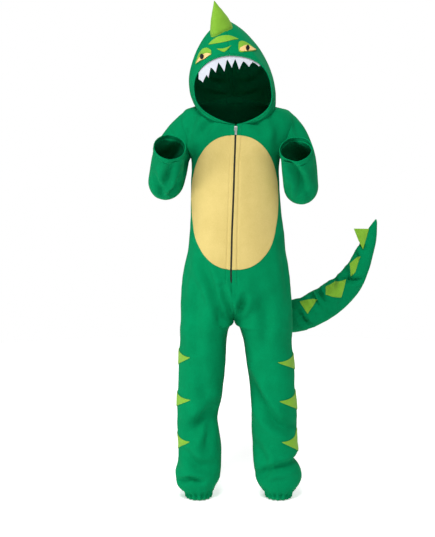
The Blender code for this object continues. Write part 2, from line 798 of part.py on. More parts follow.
def add_teeth(felt):
    """A strip behind the hood's front edge, cut into points below it."""
    lower = [point for pair in zip(TEETH_NOTCHES, TEETH_TIPS) for point in pair] + [TEETH_NOTCHES[-1]]
    outer, inner = [[], [], []], [[], [], []]
    for x, z in lower:
        side, across = face_edge_at(x)
        behind = hood_normal(side, across, TEETH_INSIDE) * -(CLOTH + TEETH_GAP)
        top = hood_point(side, across, TEETH_INSIDE) + behind
        edge = hood_point(side, across, 0)
        inward = Vector((behind.x, behind.y, 0)).normalized()
        hem = edge + inward * (CLOTH + TEETH_GAP) - Vector((0, 0, 1))
        tip = Vector((hem.x, hem.y, min(z, hem.z - 1.5)))
        for level, place in enumerate((top, hem, tip)):
            outer[level].append(place)
            inner[level].append(place + inward * TOOTH_THICK)
    wall("teeth", outer, inner, felt)


def add_face(nets, lime, cream, black):
    patch("brow_spot", *BROW_SPOT, nets, lime, columns=7)
    patch("nose_spot", *NOSE_SPOT, nets, lime, columns=4, rows=2, lift=NOSE_SPOT_LIFT)
    step = PATCH_THICK + 0.35
    for side, word in ((-1, "left"), (1, "right")):
        eye = EYES[side]
        patch(f"eyelid_{word}", *eye["lid"], nets, lime, columns=6)
        patch(f"eyeball_{word}", *eye["ball"], nets, cream, columns=5, rows=2, lift=step)
        x, z, half_x, half_z = eye["pupil"]
        ring = [math.pi * i / 4 for i in range(5)]
        upper = [(x - half_x * math.cos(a), z + half_z * (math.sin(a) + 0.08)) for a in ring]
        lower = [(x - half_x * math.cos(a), z - half_z * (math.sin(a) + 0.08)) for a in ring]
        patch(f"pupil_{word}", upper, lower, nets, black, columns=4, rows=2, lift=2 * step)


def add_horn(nets, lime):
    x, y = HORN_BASE
    down = Vector((0, 0, -1))

    def on_hood(share, angle):
        off_x, off_y = HORN_HALF[0] * math.cos(angle), HORN_HALF[1] * math.sin(angle)
        start = Vector((x + off_x * share, y + off_y * share, 400))
        hits = [net.ray_cast(start, down)[0] for net in nets]
        return max((hit for hit in hits if hit), key=lambda hit: hit.z) - down * PATCH_GAP

    angles = [2 * math.pi * i / HORN_SIDES for i in range(HORN_SIDES)]
    base = [on_hood(1.0, angle) for angle in angles]
    cap = [on_hood(0.5, angle) for angle in angles]
    tip = Vector(HORN_TIP)
    middle = sum(base, Vector()) / HORN_SIDES
    rings = [cap]
    for share, width in HORN_STEPS:
        rings.append([middle.lerp(tip, share) + (p - middle) * width for p in base])
    solid_of_rings("horn", rings, lime, on_hood(0.0, 0.0))


def oval_cutter():
    """A prism with the belly oval as its outline, from well in front of the suit to its side seams."""
    centre_x, centre_z, half, tall, exponent = BELLY
    bm = bmesh.new()
    ends = ([], [])
    for i in range(BELLY_SIDES):
        angle = 2 * math.pi * i / BELLY_SIDES
        x = centre_x + half * power(math.cos(angle), 2 / exponent)
        z = centre_z + tall * power(math.sin(angle), 2 / exponent)
        for end, y in zip(ends, (-200.0, -6.0)):
            end.append(bm.verts.new(Vector((x, y, z)) * MM))
    for i in range(BELLY_SIDES):
        j = (i + 1) % BELLY_SIDES
        bm.faces.new((ends[0][i], ends[0][j], ends[1][j], ends[1][i]))
    bm.faces.new(ends[0])
    bm.faces.new(ends[1])
    cutter = bpy.data.objects.new("belly_cutter", mesh_from(bm, "belly_cutter"))
    bpy.context.scene.collection.objects.link(cutter)
    cutter.hide_render = True
    cutter.display_type = "WIRE"
    return cutter


def add_belly(fronts, sand):
    """The front panels' own points, moved out and cut to the oval."""
    cutter = oval_cutter()
    for word, (rows, normals) in fronts.items():
        inner = moved(rows, normals, BELLY_GAP)
        outer = moved(rows, normals, BELLY_GAP + PATCH_THICK)
        count = next(k for k, row in enumerate(rows) if row[0].z < ZIP_END)
        piece = wall(f"belly_{word}", outer[:count], inner[:count], sand)
        cut = piece.modifiers.new("oval", "BOOLEAN")
        cut.operation = "INTERSECT"
        cut.object = cutter


def front_at(x_off, height):
    """The point of the front's face at a sideways distance from its middle."""
    side = 1 if x_off > 0 else -1
    centre = interpolate(BODY, 5, height)
    half = abs(interpolate(BODY, 1 if side < 0 else 2, height) - centre)
    turn = math.asin((abs(x_off) / half) ** (1 / ROUNDNESS)) * 2 / math.pi
    return body_point(side, turn, height)


def strip_rows(near, far, depth, bottom, top):
    """Rows down the front middle from near to far, at a depth behind the cloth's face."""
    rows = []
    for k in range(ZIP_ROWS + 1):
        height = top + (bottom - top) * k / ZIP_ROWS
        offs = (near, (near + far) / 2, far)
        rows.append([front_at(off, height) + Vector((0, depth, 0)) for off in offs])
    return rows


def add_zip(tape, coil, metal):
    behind = CLOTH + TAPE_DEPTH
    for side, word in ((-1, "left"), (1, "right")):
        ends = (side * 0.2, side * TAPE_WIDTH)
        front = strip_rows(*ends, behind, ZIP_END - 3, ZIP_TOP - 3)
        back = strip_rows(*ends, behind + TAPE_THICK, ZIP_END - 3, ZIP_TOP - 3)
        wall(f"zip_tape_{word}", front, back, tape)
    ends = (-COIL_HALF, COIL_HALF)
    front = strip_rows(*ends, COIL_DEPTH, ZIP_END + 1, ZIP_TOP - 3)
    back = strip_rows(*ends, COIL_DEPTH + COIL_THICK, ZIP_END + 1, ZIP_TOP - 3)
    wall("zip_coil", front, back, coil)
    add_slider(metal)


def box_mesh(bm, low, high):
    corners = bmesh.ops.create_cube(bm, size=1)["verts"]
    for vert in corners:
        vert.co = [((c + 0.5) * (b - a) + a) * MM for c, a, b in zip(vert.co, low, high)]


def union_of(name, boxes, material_used):
    """One body from boxes that overlap, joined by Boolean modifiers."""
    things = []
    for index, (low, high) in enumerate(boxes):
        bm = bmesh.new()
        box_mesh(bm, low, high)
        mesh = mesh_from(bm, f"{name}_{index}")
        thing = bpy.data.objects.new(name if index == 0 else f"{name}_join_{index}", mesh)
        bpy.context.scene.collection.objects.link(thing)
        things.append(thing)
    base = things[0]
    base.data.materials.append(material_used)
    for helper in things[1:]:
        helper.hide_render = True
        helper.display_type = "WIRE"
        join = base.modifiers.new("join", "BOOLEAN")
        join.operation = "UNION"
        join.object = helper
    return base


def add_slider(metal):
    x, _, z = body_point(1, 0, SLIDER_HEIGHT)
    face = body_point(1, 0, SLIDER_HEIGHT - SLIDER_HALF_LENGTH).y - SLIDER_OUT
    axis_y = face - PULL_AXIS_OUT
    wide, tall = SLIDER_HALF_WIDTH, SLIDER_HALF_LENGTH
    post_out = axis_y - 1.9
    post_in = face - 0.8
    pin_room = 1.1
    body = ((x - wide, face - SLIDER_THICK, z - tall), (x + wide, face, z + tall))
    upper_post = ((x - BRIDGE_HALF, post_out, z + pin_room), (x + BRIDGE_HALF, post_in, z + BRIDGE_TOP))
    lower_post = ((x - BRIDGE_HALF, post_out, z - BRIDGE_TOP), (x + BRIDGE_HALF, post_in, z - pin_room))
    top = ((x - BRIDGE_HALF, post_out, z - BRIDGE_TOP), (x + BRIDGE_HALF, post_out + 1, z + BRIDGE_TOP))
    union_of("zip_slider", (body, upper_post, lower_post, top), metal)

    near, far = axis_y - PULL_HALF_THICK, axis_y + PULL_HALF_THICK
    cheek = BRIDGE_HALF + 0.4
    pin = ((x - PULL_HALF, near, z - PULL_HALF_THICK), (x + PULL_HALF, far, z + PULL_HALF_THICK))
    left_cheek = ((x - PULL_HALF, near, z - PULL_SLOT - 0.8), (x - cheek, far, z + PULL_HALF_THICK))
    right_cheek = ((x + cheek, near, z - PULL_SLOT - 0.8), (x + PULL_HALF, far, z + PULL_HALF_THICK))
    tab = ((x - PULL_HALF, near, z - PULL_LENGTH), (x + PULL_HALF, far, z - PULL_SLOT))
    union_of("zip_pull", (pin, left_cheek, right_cheek, tab), metal)


def add_leg_spots(facets, lime):
    """Points over the side seams; each has a front half and a back half."""
    rows = 2
    for side, word in ((-1, "left"), (1, "right")):
        for index, pair in enumerate(LEG_SPOTS):
            height, half, columns = pair[0] if side < 0 else pair[1]
            for way, part in ((-1, "front"), (1, "back")):
                outer, inner = [], []
                for k in range(rows + 1):
                    outer_row, inner_row = [], []
                    for i in range(columns + 1):
                        share = i / columns
                        tall = half * (1 - share) + 0.8
                        level = height + tall * (1 - 2 * k / rows)
                        turn = 1 + way * (0.003 * (i == 0) + i / PANEL_COLUMNS)
                        normal = body_normal(side, turn, level)
                        place = lifted(facets, body_point(side, turn, level), normal)
                        outer_row.append(place + normal * (PATCH_GAP + PATCH_THICK))
                        inner_row.append(place + normal * PATCH_GAP)
                    outer.append(outer_row)
                    inner.append(inner_row)
                wall(f"leg_spot_{word}_{index + 1}_{part}", outer, inner, lime)


def tail_place(share):
    """Centre, half width and direction at a share of the tail's table."""
    table = [(-index, *row) for index, row in enumerate(TAIL)]
    at = share * (len(TAIL) - 1)

    def centre(where):
        return Vector([interpolate(table, column, -where) for column in (1, 2, 3)])

    way = (centre(min(at + 0.05, len(TAIL) - 1)) - centre(max(at - 0.05, 0))).normalized()
    return centre(at), interpolate(table, 4, -at), way


def tail_point(turn, share):
    centre, half, way = tail_place(share)
    depth_way = Vector((0, 1, 0)) - way * way.y
    if depth_way.length < 0.5:
        depth_way = Vector((0, 0, 1)) - way * way.z
    depth_way.normalize()
    side_way = way.cross(depth_way).normalized()
    angle = 2 * math.pi * turn
    flat = TAIL_DEPTH + (1 - TAIL_DEPTH) * max(0.0, 1 - share * 4)
    return centre + side_way * math.cos(angle) * half + depth_way * math.sin(angle) * half * flat


def add_tail(facets, cloth, lime):
    def back_point(across, down):
        side = -1 if across < 0.5 else 1
        return body_point(side, 2 - abs(across - 0.5) * 2, -330 - 170 * down)

    back = surface_tree(back_point, 40, 40)
    rings = []
    base = Vector(TAIL[0][:3])
    half = TAIL[0][3]

    def on_seat(share, angle):
        x, z = base.x + half * share * math.cos(angle), base.z - half * share * math.sin(angle)
        place, normal = on_tree(back, x, z, from_front=False, edge_y=60.0)
        return lifted(facets, place, normal) + Vector((0, PATCH_GAP, 0))

    for share in (0.35, 0.7, 1.0):
        rings.append([on_seat(share, 2 * math.pi * i / TAIL_SIDES) for i in range(TAIL_SIDES)])
    last = len(TAIL) - 1
    steps = [1.0, 1.5, 2.0, 2.5] + [float(k) for k in range(3, last + 1)]  # closer round the first bend
    for step in steps:
        rings.append([tail_point(i / TAIL_SIDES, step / last) for i in range(TAIL_SIDES)])
    for k in range(3, len(rings)):
        rings[k] = best_start(rings[k - 1], rings[k])
    solid_of_rings("tail", rings, cloth, on_seat(0.0, 0.0))
    tree = surface_tree(lambda a, d: tail_point(a, 0.2 + 0.8 * d), 40, 80)
    coarse = facet_tree([[ring + ring[:1] for ring in rings]])
    nets = (tree, coarse)
    for index, (edges, lift) in enumerate(zip(TAIL_SPIKES, SPIKE_LIFTS)):
        name = f"tail_spike_{index + 1}"
        patch(name, *edges, nets, lime, columns=6, rows=5, lift=lift, edge_y=TAIL_EDGE_Y)
    add_last_spike(lime)


def best_start(before, ring):
    """The same ring, turned and if needed reversed so that its points follow the ring before."""
    choices = []
    for way in (ring, ring[::-1]):
        for first in range(len(ring)):
            turned = way[first:] + way[:first]
            choices.append((sum((a - b).length_squared for a, b in zip(before, turned)), first, turned))
    return min(choices, key=lambda c: (c[0], c[1]))[2]


def add_last_spike(lime):
    """The point near the tail's end is sewn to its front and stands off its edge."""
    root, tip, edge, foot = (Vector(corner) for corner in LAST_SPIKE)
    front = [[root, tip], [foot, edge]]
    back = [[place + Vector((0, LAST_SPIKE_THICK, 0)) for place in row] for row in front]
    wall("tail_spike_4", front, back, lime)


def add_ankles(cloth):
    """Gathered casings below the panels, widest in the gathers' crests."""
    count = GATHERS * POINTS_IN_GATHER
    for side, word in ((-1, "left"), (1, "right")):
        outer, inner = [], []
        for drop, share in CASING_ROWS:
            height = ANKLE + drop
            outer_row, inner_row = [], []
            for i in range(count):
                turn = 2 * i / count
                wave = GATHER_DEPTH * share * math.cos(2 * math.pi * i / POINTS_IN_GATHER)
                place = body_point(side, turn, height)
                normal = body_normal(side, turn, height)
                normal = Vector((normal.x, normal.y, 0)).normalized()
                outer_row.append(place + normal * (wave - GATHER_DEPTH))
                inner_row.append(place + normal * (wave - GATHER_DEPTH - CLOTH))
            outer.append(outer_row)
            inner.append(inner_row)
        wall(f"ankle_casing_{word}", outer, inner, cloth, ring=True)


def main():
    for thing in list(bpy.data.objects):
        bpy.data.objects.remove(thing, do_unlink=True)
    green = material("green_velour", "#04905b", 0.85)
    lime = material("lime_felt", "#82ba3b", 0.9)
    sand = material("sand_velour", "#e4cd83", 0.85)
    white = material("white_felt", "#e9ecec", 0.9)
    cream = material("cream_felt", "#e8c88a", 0.9)
    black = material("black_felt", "#141312", 0.9)
    tape = material("black_tape", "#1b1a18", 0.7)
    coil = material("black_coil", "#161616", 0.45)
    metal = material("zip_metal", "#8d8f8e", 0.35, 1.0)
    facets, fronts = add_panels(green)
    add_sleeves(green)
    hood = add_hood(green)
    add_teeth(white)
    add_face(hood, lime, cream, black)
    add_horn(hood, lime)
    add_belly(fronts, sand)
    add_zip(tape, coil, metal)
    add_leg_spots(facets, lime)
    add_tail(facets, green, lime)
    add_ankles(green)


main()
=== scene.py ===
import math

import bmesh
import bpy
import numpy as np
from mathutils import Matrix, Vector, noise
from mathutils.bvhtree import BVHTree


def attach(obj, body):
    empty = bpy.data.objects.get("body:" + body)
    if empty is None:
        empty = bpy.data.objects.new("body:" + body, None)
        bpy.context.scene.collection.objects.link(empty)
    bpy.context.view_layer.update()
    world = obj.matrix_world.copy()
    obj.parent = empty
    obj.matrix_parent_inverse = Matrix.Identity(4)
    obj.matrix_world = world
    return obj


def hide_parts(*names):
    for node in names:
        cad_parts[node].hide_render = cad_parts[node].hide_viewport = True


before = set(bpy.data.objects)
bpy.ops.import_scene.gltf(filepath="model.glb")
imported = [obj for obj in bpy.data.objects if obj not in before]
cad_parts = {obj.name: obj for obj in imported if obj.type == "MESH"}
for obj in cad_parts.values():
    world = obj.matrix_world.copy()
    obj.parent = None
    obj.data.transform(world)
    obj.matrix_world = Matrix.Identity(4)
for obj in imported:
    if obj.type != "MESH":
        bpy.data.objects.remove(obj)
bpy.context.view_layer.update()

# Lengths are in millimetres, as on a paper pattern, and meshes are made in metres
mm = 0.001


# Camera, light and floor

studio = {
    "cameraPlace": (-0.0396, -3.3, 0.0),
    "cameraAim": (-0.0396, 0.0, -0.38),
    "lens": 92.79,
    "sensorWidth": 36,
    "worldStrength": 0.36,
    "floorHeight": -0.9415,
    "floorRadius": 2.4,
    "floorSides": 64,
    "floorGlow": 0.42,  # the paper is lit from below too, so that it stays white
    "wallWhite": 1.0,  # what shows behind the floor
    "lightAim": (0, 0, -0.4),
    # place, width in metres, watts
    "lights": {
        "keyLight": ((-0.4, -2.2, 2.3), 1.2, 112),
        "frontLight": ((1.0, -3.1, 0.1), 2.4, 6),
        "sideLight": ((-2.4, -0.9, -0.72), 1.1, 44),
        "backLight": ((1.4, 2.6, 1.6), 1.6, 40),
    },
}


def linearColour(hexColour):
    parts = [int(hexColour[i : i + 2], 16) / 255 for i in (1, 3, 5)]
    return (*[c / 12.92 if c <= 0.04045 else ((c + 0.055) / 1.055) ** 2.4 for c in parts], 1.0)


def setInputs(tree, node, inputs):
    for name, value in inputs.items():
        if isinstance(value, bpy.types.NodeSocket):
            tree.links.new(value, node.inputs[name])
        else:
            node.inputs[name].default_value = value


def addNode(tree, kind, inputs=None, **settings):
    node = tree.nodes.new(kind)
    for name, value in settings.items():
        setattr(node, name, value)
    setInputs(tree, node, inputs or {})
    return node


def newMaterial(name):
    made = bpy.data.materials.new(name)
    made.use_nodes = True
    tree = made.node_tree
    shader = tree.nodes["Principled BSDF"]
    return made, tree, shader


def makeStudio():
    scene = bpy.context.scene
    scene.view_settings.view_transform = "Standard"
    camera = bpy.data.objects.new("camera", bpy.data.cameras.new("camera"))
    camera.data.lens = studio["lens"]
    camera.data.sensor_width = studio["sensorWidth"]
    camera.location = studio["cameraPlace"]
    aim = Vector(studio["cameraAim"]) - Vector(studio["cameraPlace"])
    camera.rotation_euler = aim.to_track_quat("-Z", "Y").to_euler()
    scene.collection.objects.link(camera)
    scene.camera = camera

    world = bpy.data.worlds.new("studioWorld")
    world.use_nodes = True
    tree = world.node_tree
    # The walls look white in the picture, but light the cloth more softly than that
    look = addNode(tree, "ShaderNodeLightPath")
    strength = addNode(
        tree, "ShaderNodeMapRange",
        {
            "Value": look.outputs["Is Camera Ray"],
            "To Min": studio["worldStrength"],
            "To Max": studio["wallWhite"],
        },
    )
    white = (1, 1, 1, 1)
    setInputs(tree, tree.nodes["Background"], {"Color": white, "Strength": strength.outputs["Result"]})
    scene.world = world

    for name, (place, width, watts) in studio["lights"].items():
        light = bpy.data.lights.new(name, "AREA")
        light.size = width
        light.energy = watts
        lamp = bpy.data.objects.new(name, light)
        lamp.location = place
        lamp.rotation_euler = (Vector(studio["lightAim"]) - Vector(place)).to_track_quat("-Z", "Y").to_euler()
        scene.collection.objects.link(lamp)

    sides, radius = studio["floorSides"], studio["floorRadius"]
    mesh = bpy.data.meshes.new("floor")
    angles = [2 * math.pi * i / sides for i in range(sides)]
    corners = [(radius * math.cos(angle), radius * math.sin(angle), 0) for angle in angles]
    mesh.from_pydata(corners, [], [tuple(range(sides))])
    floor = bpy.data.objects.new("floor", mesh)
    floor.location.z = studio["floorHeight"]
    scene.collection.objects.link(floor)
    # Matt studio paper
    paper, tree, shader = newMaterial("studioPaper")
    setInputs(tree, shader, {
        "Base Color": linearColour("#f8f8f8"),
        "Roughness": 0.9,
        "Emission Color": white,
        "Emission Strength": studio["floorGlow"],
    })
    mesh.materials.append(paper)


print("studio")
makeStudio()


# Materials

finishes = {
    "greenVelour": {"light": "#007c4d", "deep": "#007044", "sheenTint": "#22b37a", "sheen": 0.06},
    "sandVelour": {"light": "#c4b06f", "deep": "#b8a463", "sheenTint": "#fff3cf", "sheen": 0.06},
    "limeFelt": {"light": "#77a632", "deep": "#6b9a29"},
    "whiteFelt": {"light": "#bcbfc7", "deep": "#b2b5be"},
    "creamFelt": {"light": "#dcb97c", "deep": "#d0ab6e"},
    "blackFelt": {"light": "#151413", "deep": "#0b0a0a"},
    "napPatch": 48,  # size of the areas where the nap lies differently
    "pile": 1.5,  # the real pile is about 0.3 mm, drawn coarser so that it shows
    "feltFibre": 1.1,
    "feltPatch": 22,
    "tapeRib": 1.2,  # about half the rib spacing of the woven zip tape
    "coilCloud": 3,
    "scuff": 1.2,
    "twist": 0.8,  # of the sewing thread
}


def objectPlace(tree):
    return addNode(tree, "ShaderNodeTexCoord").outputs["Object"]


# Noise whose cells are about this many millimetres wide
def addNoise(tree, place, size, detail, roughness=0.5):
    inputs = {"Vector": place, "Scale": 1 / (size * mm), "Detail": detail, "Roughness": roughness}
    return addNode(tree, "ShaderNodeTexNoise", inputs).outputs["Fac"]


def blendColours(tree, shader, share, deep, light):
    inputs = {"Factor": share, 6: linearColour(deep), 7: linearColour(light)}
    colour = addNode(tree, "ShaderNodeMix", inputs, data_type="RGBA")
    tree.links.new(colour.outputs[2], shader.inputs["Base Color"])


def addBump(tree, shader, height, strength, distance):
    inputs = {"Height": height, "Strength": strength, "Distance": distance * mm}
    bump = addNode(tree, "ShaderNodeBump", inputs)
    tree.links.new(bump.outputs["Normal"], shader.inputs["Normal"])


# Colour that drifts between two shades, and a fine bump, both by real size
def clothNodes(tree, shader, colours, patch, grain, bumpHeight, stretch=(1, 1, 1)):
    place = objectPlace(tree)
    drift = addNoise(tree, place, patch, 3.0, 0.6)
    pulled = addNode(tree, "ShaderNodeMapping", {"Vector": place, "Scale": stretch})
    fibres = addNoise(tree, pulled.outputs["Vector"], grain, 2.0, 0.7)
    both = addNode(tree, "ShaderNodeMath", {0: drift, 1: fibres}, operation="ADD")
    inputs = {"Value": both.outputs[0], "From Min": 0.72, "From Max": 1.28}
    spread = addNode(tree, "ShaderNodeMapRange", inputs)
    blendColours(tree, shader, spread.outputs["Result"], colours["deep"], colours["light"])
    addBump(tree, shader, fibres, 0.55, bumpHeight)


# Brushed polyester velour: soft, with a pale sheen where the nap turns away from the eye
def velour(name):
    look = finishes[name]
    made, tree, shader = newMaterial(name)
    clothNodes(tree, shader, look, finishes["napPatch"], finishes["pile"], 0.35, (1, 1, 0.55))
    setInputs(tree, shader, {
        "Roughness": 0.92, "IOR": 1.45, "Specular IOR Level": 0.04,
        "Sheen Weight": look["sheen"], "Sheen Roughness": 0.45, "Sheen Tint": linearColour(look["sheenTint"]),
    })
    return made


# Pressed polyester felt: matt, with short crossed fibres
def felt(name):
    made, tree, shader = newMaterial(name)
    clothNodes(tree, shader, finishes[name], finishes["feltPatch"], finishes["feltFibre"], 0.25)
    setInputs(tree, shader, {
        "Roughness": 0.95, "IOR": 1.45, "Specular IOR Level": 0.08,
        "Sheen Weight": 0.06, "Sheen Roughness": 0.6,
    })
    return made


# Woven polyester tape: ribs across its length
def wovenTape():
    made, tree, shader = newMaterial("wovenZipTape")
    # The wave texture turns by 20 radians a unit, so one wave is about twice tapeRib long
    scale = 1 / (finishes["tapeRib"] * mm) / math.tau
    inputs = {"Vector": objectPlace(tree), "Scale": scale, "Distortion": 0.4}
    ribs = addNode(tree, "ShaderNodeTexWave", inputs, bands_direction="Z").outputs["Fac"]
    blendColours(tree, shader, ribs, "#0f0e0d", "#1e1c1a")
    addBump(tree, shader, ribs, 0.6, 0.2)
    shader.inputs["Roughness"].default_value = 0.75
    return made


# Moulded nylon monofilament: dark with a low gloss
def nylonCoil():
    made, tree, shader = newMaterial("mouldedNylonCoil")
    cloud = addNoise(tree, objectPlace(tree), finishes["coilCloud"], 2.0)
    blendColours(tree, shader, cloud, "#0e0e0e", "#202020")
    setInputs(tree, shader, {"Roughness": 0.42, "IOR": 1.53})
    return made


# Die-cast zinc with a dull nickel plate: fine tumbled scuffs break up the reflection
def platedZinc():
    made, tree, shader = newMaterial("platedZincAlloy")
    scuffs = addNoise(tree, objectPlace(tree), finishes["scuff"], 4.0, 0.7)
    rough = addNode(tree, "ShaderNodeMapRange", {"Value": scuffs, "To Min": 0.28, "To Max": 0.5})
    addBump(tree, shader, scuffs, 0.2, 0.05)
    setInputs(tree, shader, {
        "Base Color": linearColour("#b4b6b5"), "Metallic": 1.0, "Roughness": rough.outputs["Result"],
    })
    return made


# Spun polyester sewing thread, a shade lighter than the cloth it sews
def thread(name, hexColour):
    made, tree, shader = newMaterial(name)
    twist = addNoise(tree, objectPlace(tree), finishes["twist"], 1.0)
    value = addNode(tree, "ShaderNodeMapRange", {"Value": twist, "To Min": 0.8, "To Max": 1.2})
    inputs = {"Color": linearColour(hexColour), "Value": value.outputs["Result"]}
    shade = addNode(tree, "ShaderNodeHueSaturation", inputs)
    setInputs(tree, shader, {"Base Color": shade.outputs["Color"], "Roughness": 0.7})
    return made


print("materials")
materials = {
    "green": velour("greenVelour"),
    "sand": velour("sandVelour"),
    "lime": felt("limeFelt"),
    "white": felt("whiteFelt"),
    "cream": felt("creamFelt"),
    "black": felt("blackFelt"),
    "tape": wovenTape(),
    "coil": nylonCoil(),
    "metal": platedZinc(),
    "greenThread": thread("greenThread", "#0a8a59"),
    "sandThread": thread("sandThread", "#c2a95c"),
    "limeThread": thread("limeThread", "#8ec444"),
}


# Shared geometry tools; points are arrays whose last axis is x, y, z

sides = ((-1, "Left"), (1, "Right"))


def unit(vectors):
    return vectors / np.maximum(np.linalg.norm(vectors, axis=-1, keepdims=True), 1e-9)


# A bell curve: 1 at 0, and near 0 beyond two widths
def bell(away, width):
    return np.exp(-((away / width) ** 2))


def signedPower(values, exponent):
    return np.sign(values) * np.abs(values) ** exponent


def hermite(start, end, slopeStart, slopeEnd, share):
    square, cube = share**2, share**3
    return (
        start * (2 * cube - 3 * square + 1)
        + slopeStart * (cube - 2 * square + share)
        + end * (3 * square - 2 * cube)
        + slopeEnd * (cube - square)
    )


# A smooth curve through the rows of a table, whose first column is the place along it
def smoothTable(table):
    rows = np.array(table, float)
    way = 1 if rows[-1, 0] > rows[0, 0] else -1
    keys, values = rows[:, 0] * way, rows[:, 1:]

    def at(where):
        place = np.clip(np.asarray(where, float) * way, keys[0], keys[-1])
        row = np.clip(np.searchsorted(keys, place, side="right") - 1, 0, len(keys) - 2)
        before, after = np.maximum(row - 1, 0), np.minimum(row + 2, len(keys) - 1)
        span = (keys[row + 1] - keys[row])[..., None]
        share = (place - keys[row])[..., None] / span
        slopeStart = (values[row + 1] - values[before]) / (keys[row + 1] - keys[before])[..., None] * span
        slopeEnd = (values[after] - values[row]) / (keys[after] - keys[row])[..., None] * span
        return hermite(values[row], values[row + 1], slopeStart, slopeEnd, share)

    return at


def smoothPath(points, count):
    table = [(index, *point) for index, point in enumerate(points)]
    return smoothTable(table)(np.linspace(0, len(points) - 1, count))


# Distance of each flat point to a line of points, and the share of the line where it is nearest
def distanceToPath(flat, path):
    best = np.full(flat.shape[:-1], 1e9)
    share = np.zeros(flat.shape[:-1])
    for index, (start, end) in enumerate(zip(path, path[1:])):
        along = end - start
        part = np.clip(((flat - start) @ along) / max(along @ along, 1e-9), 0, 1)
        away = np.linalg.norm(flat - start - part[..., None] * along, axis=-1)
        closer = away < best
        best = np.where(closer, away, best)
        share = np.where(closer, (index + part) / (len(path) - 1), share)
    return best, share


# All drawn creases get this much deeper and wider together
creaseStrength = 2.5
creaseSpread = 1.3


# Soft troughs with low banks, each drawn in front view on the face that looks forward (-1) or back (1)
def creaseRelief(points, normals, creases):
    relief = np.zeros(points.shape[:-1])
    flat = points[..., [0, 2]]
    for face, path, halfWidth, depth in creases:
        line = smoothPath(path, 4 * len(path))
        halfWidth = halfWidth * creaseSpread
        reach = 3 * halfWidth
        inside = np.all((flat > line.min(axis=0) - reach) & (flat < line.max(axis=0) + reach), axis=-1)
        inside &= normals[..., 1] * face > 0
        if not inside.any():
            continue
        away, share = distanceToPath(flat[inside], line)
        facing = np.clip(normals[..., 1][inside] * face * 2.2, 0, 1)
        trough = bell(away, halfWidth)
        banks = bell(away - 1.9 * halfWidth, 0.9 * halfWidth)
        taper = np.sin(np.pi * (0.1 + 0.8 * share)) ** 0.8
        relief[inside] += facing * creaseStrength * depth * taper * (0.3 * banks - trough)
    return relief


def softNoise(points, size, seed):
    flat = points.reshape(-1, 3) / size + seed
    values = [noise.noise(Vector(point)) for point in flat]
    return np.array(values).reshape(points.shape[:-1])


# Waves of loose cloth, coarse and fine; each has its height, size and seed
def drape(points, waves, shift=0):
    (coarse, coarseSize, coarseSeed), (fine, fineSize, fineSeed) = waves
    rise = coarse * softNoise(points, coarseSize, coarseSeed + shift)
    return rise + fine * softNoise(points, fineSize, fineSeed)


def gridNormals(points, ring=False):
    down = np.gradient(points, axis=0)
    if ring:
        round_ = np.roll(points, -1, axis=1) - np.roll(points, 1, axis=1)
    else:
        round_ = np.gradient(points, axis=1)
    return unit(np.cross(round_, down))


def ringAngles(columns):
    return 2 * math.pi * np.arange(columns) / columns


def closedPath(row):
    return np.concatenate([row, row[:1]])


# Normals of a tube's rings, turned outwards
def ringNormals(rings):
    normals = gridNormals(rings, ring=True)
    outward = rings - rings.mean(axis=1, keepdims=True)
    return normals * np.sign((normals * outward).sum(axis=(1, 2)))[:, None, None]


# Where a ray meets the surface; a ray that falls through a seam's gap starts again beside it
def dropOn(tree, start, way):
    hit = tree.ray_cast(Vector(start), Vector(way))[0]
    if hit is None:
        hit = tree.ray_cast(Vector(start) + Vector((1, 0, 0)), Vector(way))[0]
    return np.array(hit)


def meshFrom(name, points, faces, sharpAngle=None):
    mesh = bpy.data.meshes.new(name)
    mesh.from_pydata((np.asarray(points) * mm).tolist(), [], faces)
    shape = bmesh.new()
    shape.from_mesh(mesh)
    bmesh.ops.recalc_face_normals(shape, faces=shape.faces)
    shape.to_mesh(mesh)
    shape.free()
    mesh.shade_smooth()
    if sharpAngle:
        mesh.set_sharp_from_angle(angle=math.radians(sharpAngle))
    return mesh


# Point numbers of a grid, and the faces between its rows and columns
def skinOf(grid, ring=False, first=0):
    rows, columns = grid.shape[:2]
    index = np.arange(rows * columns).reshape(rows, columns) + first
    if ring:
        index = np.concatenate([index, index[:, :1]], axis=1)
    skin = np.stack([index[:-1, :-1], index[:-1, 1:], index[1:, 1:], index[1:, :-1]], axis=-1)
    return index, skin.reshape(-1, 4)


# A closed thin shell between an outer and an inner grid of points
def shellMesh(name, outer, inner, ring=False):
    index, skin = skinOf(outer, ring)
    shift = outer.shape[0] * outer.shape[1]
    faces = [skin, skin[:, ::-1] + shift]
    rims = [index[0], index[-1][::-1]]
    if not ring:
        rims += [index[::-1, 0], index[:, -1]]
    for rim in rims:
        faces.append(np.stack([rim[1:], rim[:-1], rim[:-1] + shift, rim[1:] + shift], axis=-1))
    points = np.concatenate([outer.reshape(-1, 3), inner.reshape(-1, 3)])
    return meshFrom(name, points, np.concatenate(faces).tolist(), 55)


# A closed tube of rings, with a flat cap at each end
def tubeMesh(name, rings):
    index, skin = skinOf(rings, ring=True)
    faces = skin.tolist() + [index[0, :-1].tolist(), index[-1, :-1].tolist()]
    return meshFrom(name, rings.reshape(-1, 3), faces, 60)


def addPiece(name, mesh, material, stands=(), body="suit"):
    piece = bpy.data.objects.new(name, mesh)
    bpy.context.scene.collection.objects.link(piece)
    mesh.materials.clear()
    mesh.materials.append(materials[material])
    if stands:
        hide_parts(*stands)
    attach(piece, body)
    return piece


def addShell(name, outer, inner, material, stands=(), ring=False):
    return addPiece(name, shellMesh(name, outer, inner, ring), material, stands)


def treeOf(grids, ring=False):
    points, faces = [], []
    for grid in grids:
        faces += skinOf(grid, ring, len(points))[1].tolist()
        points += grid.reshape(-1, 3).tolist()
    return BVHTree.FromPolygons(points, faces)


# Sewing: each stitch is a short spindle lying on the cloth

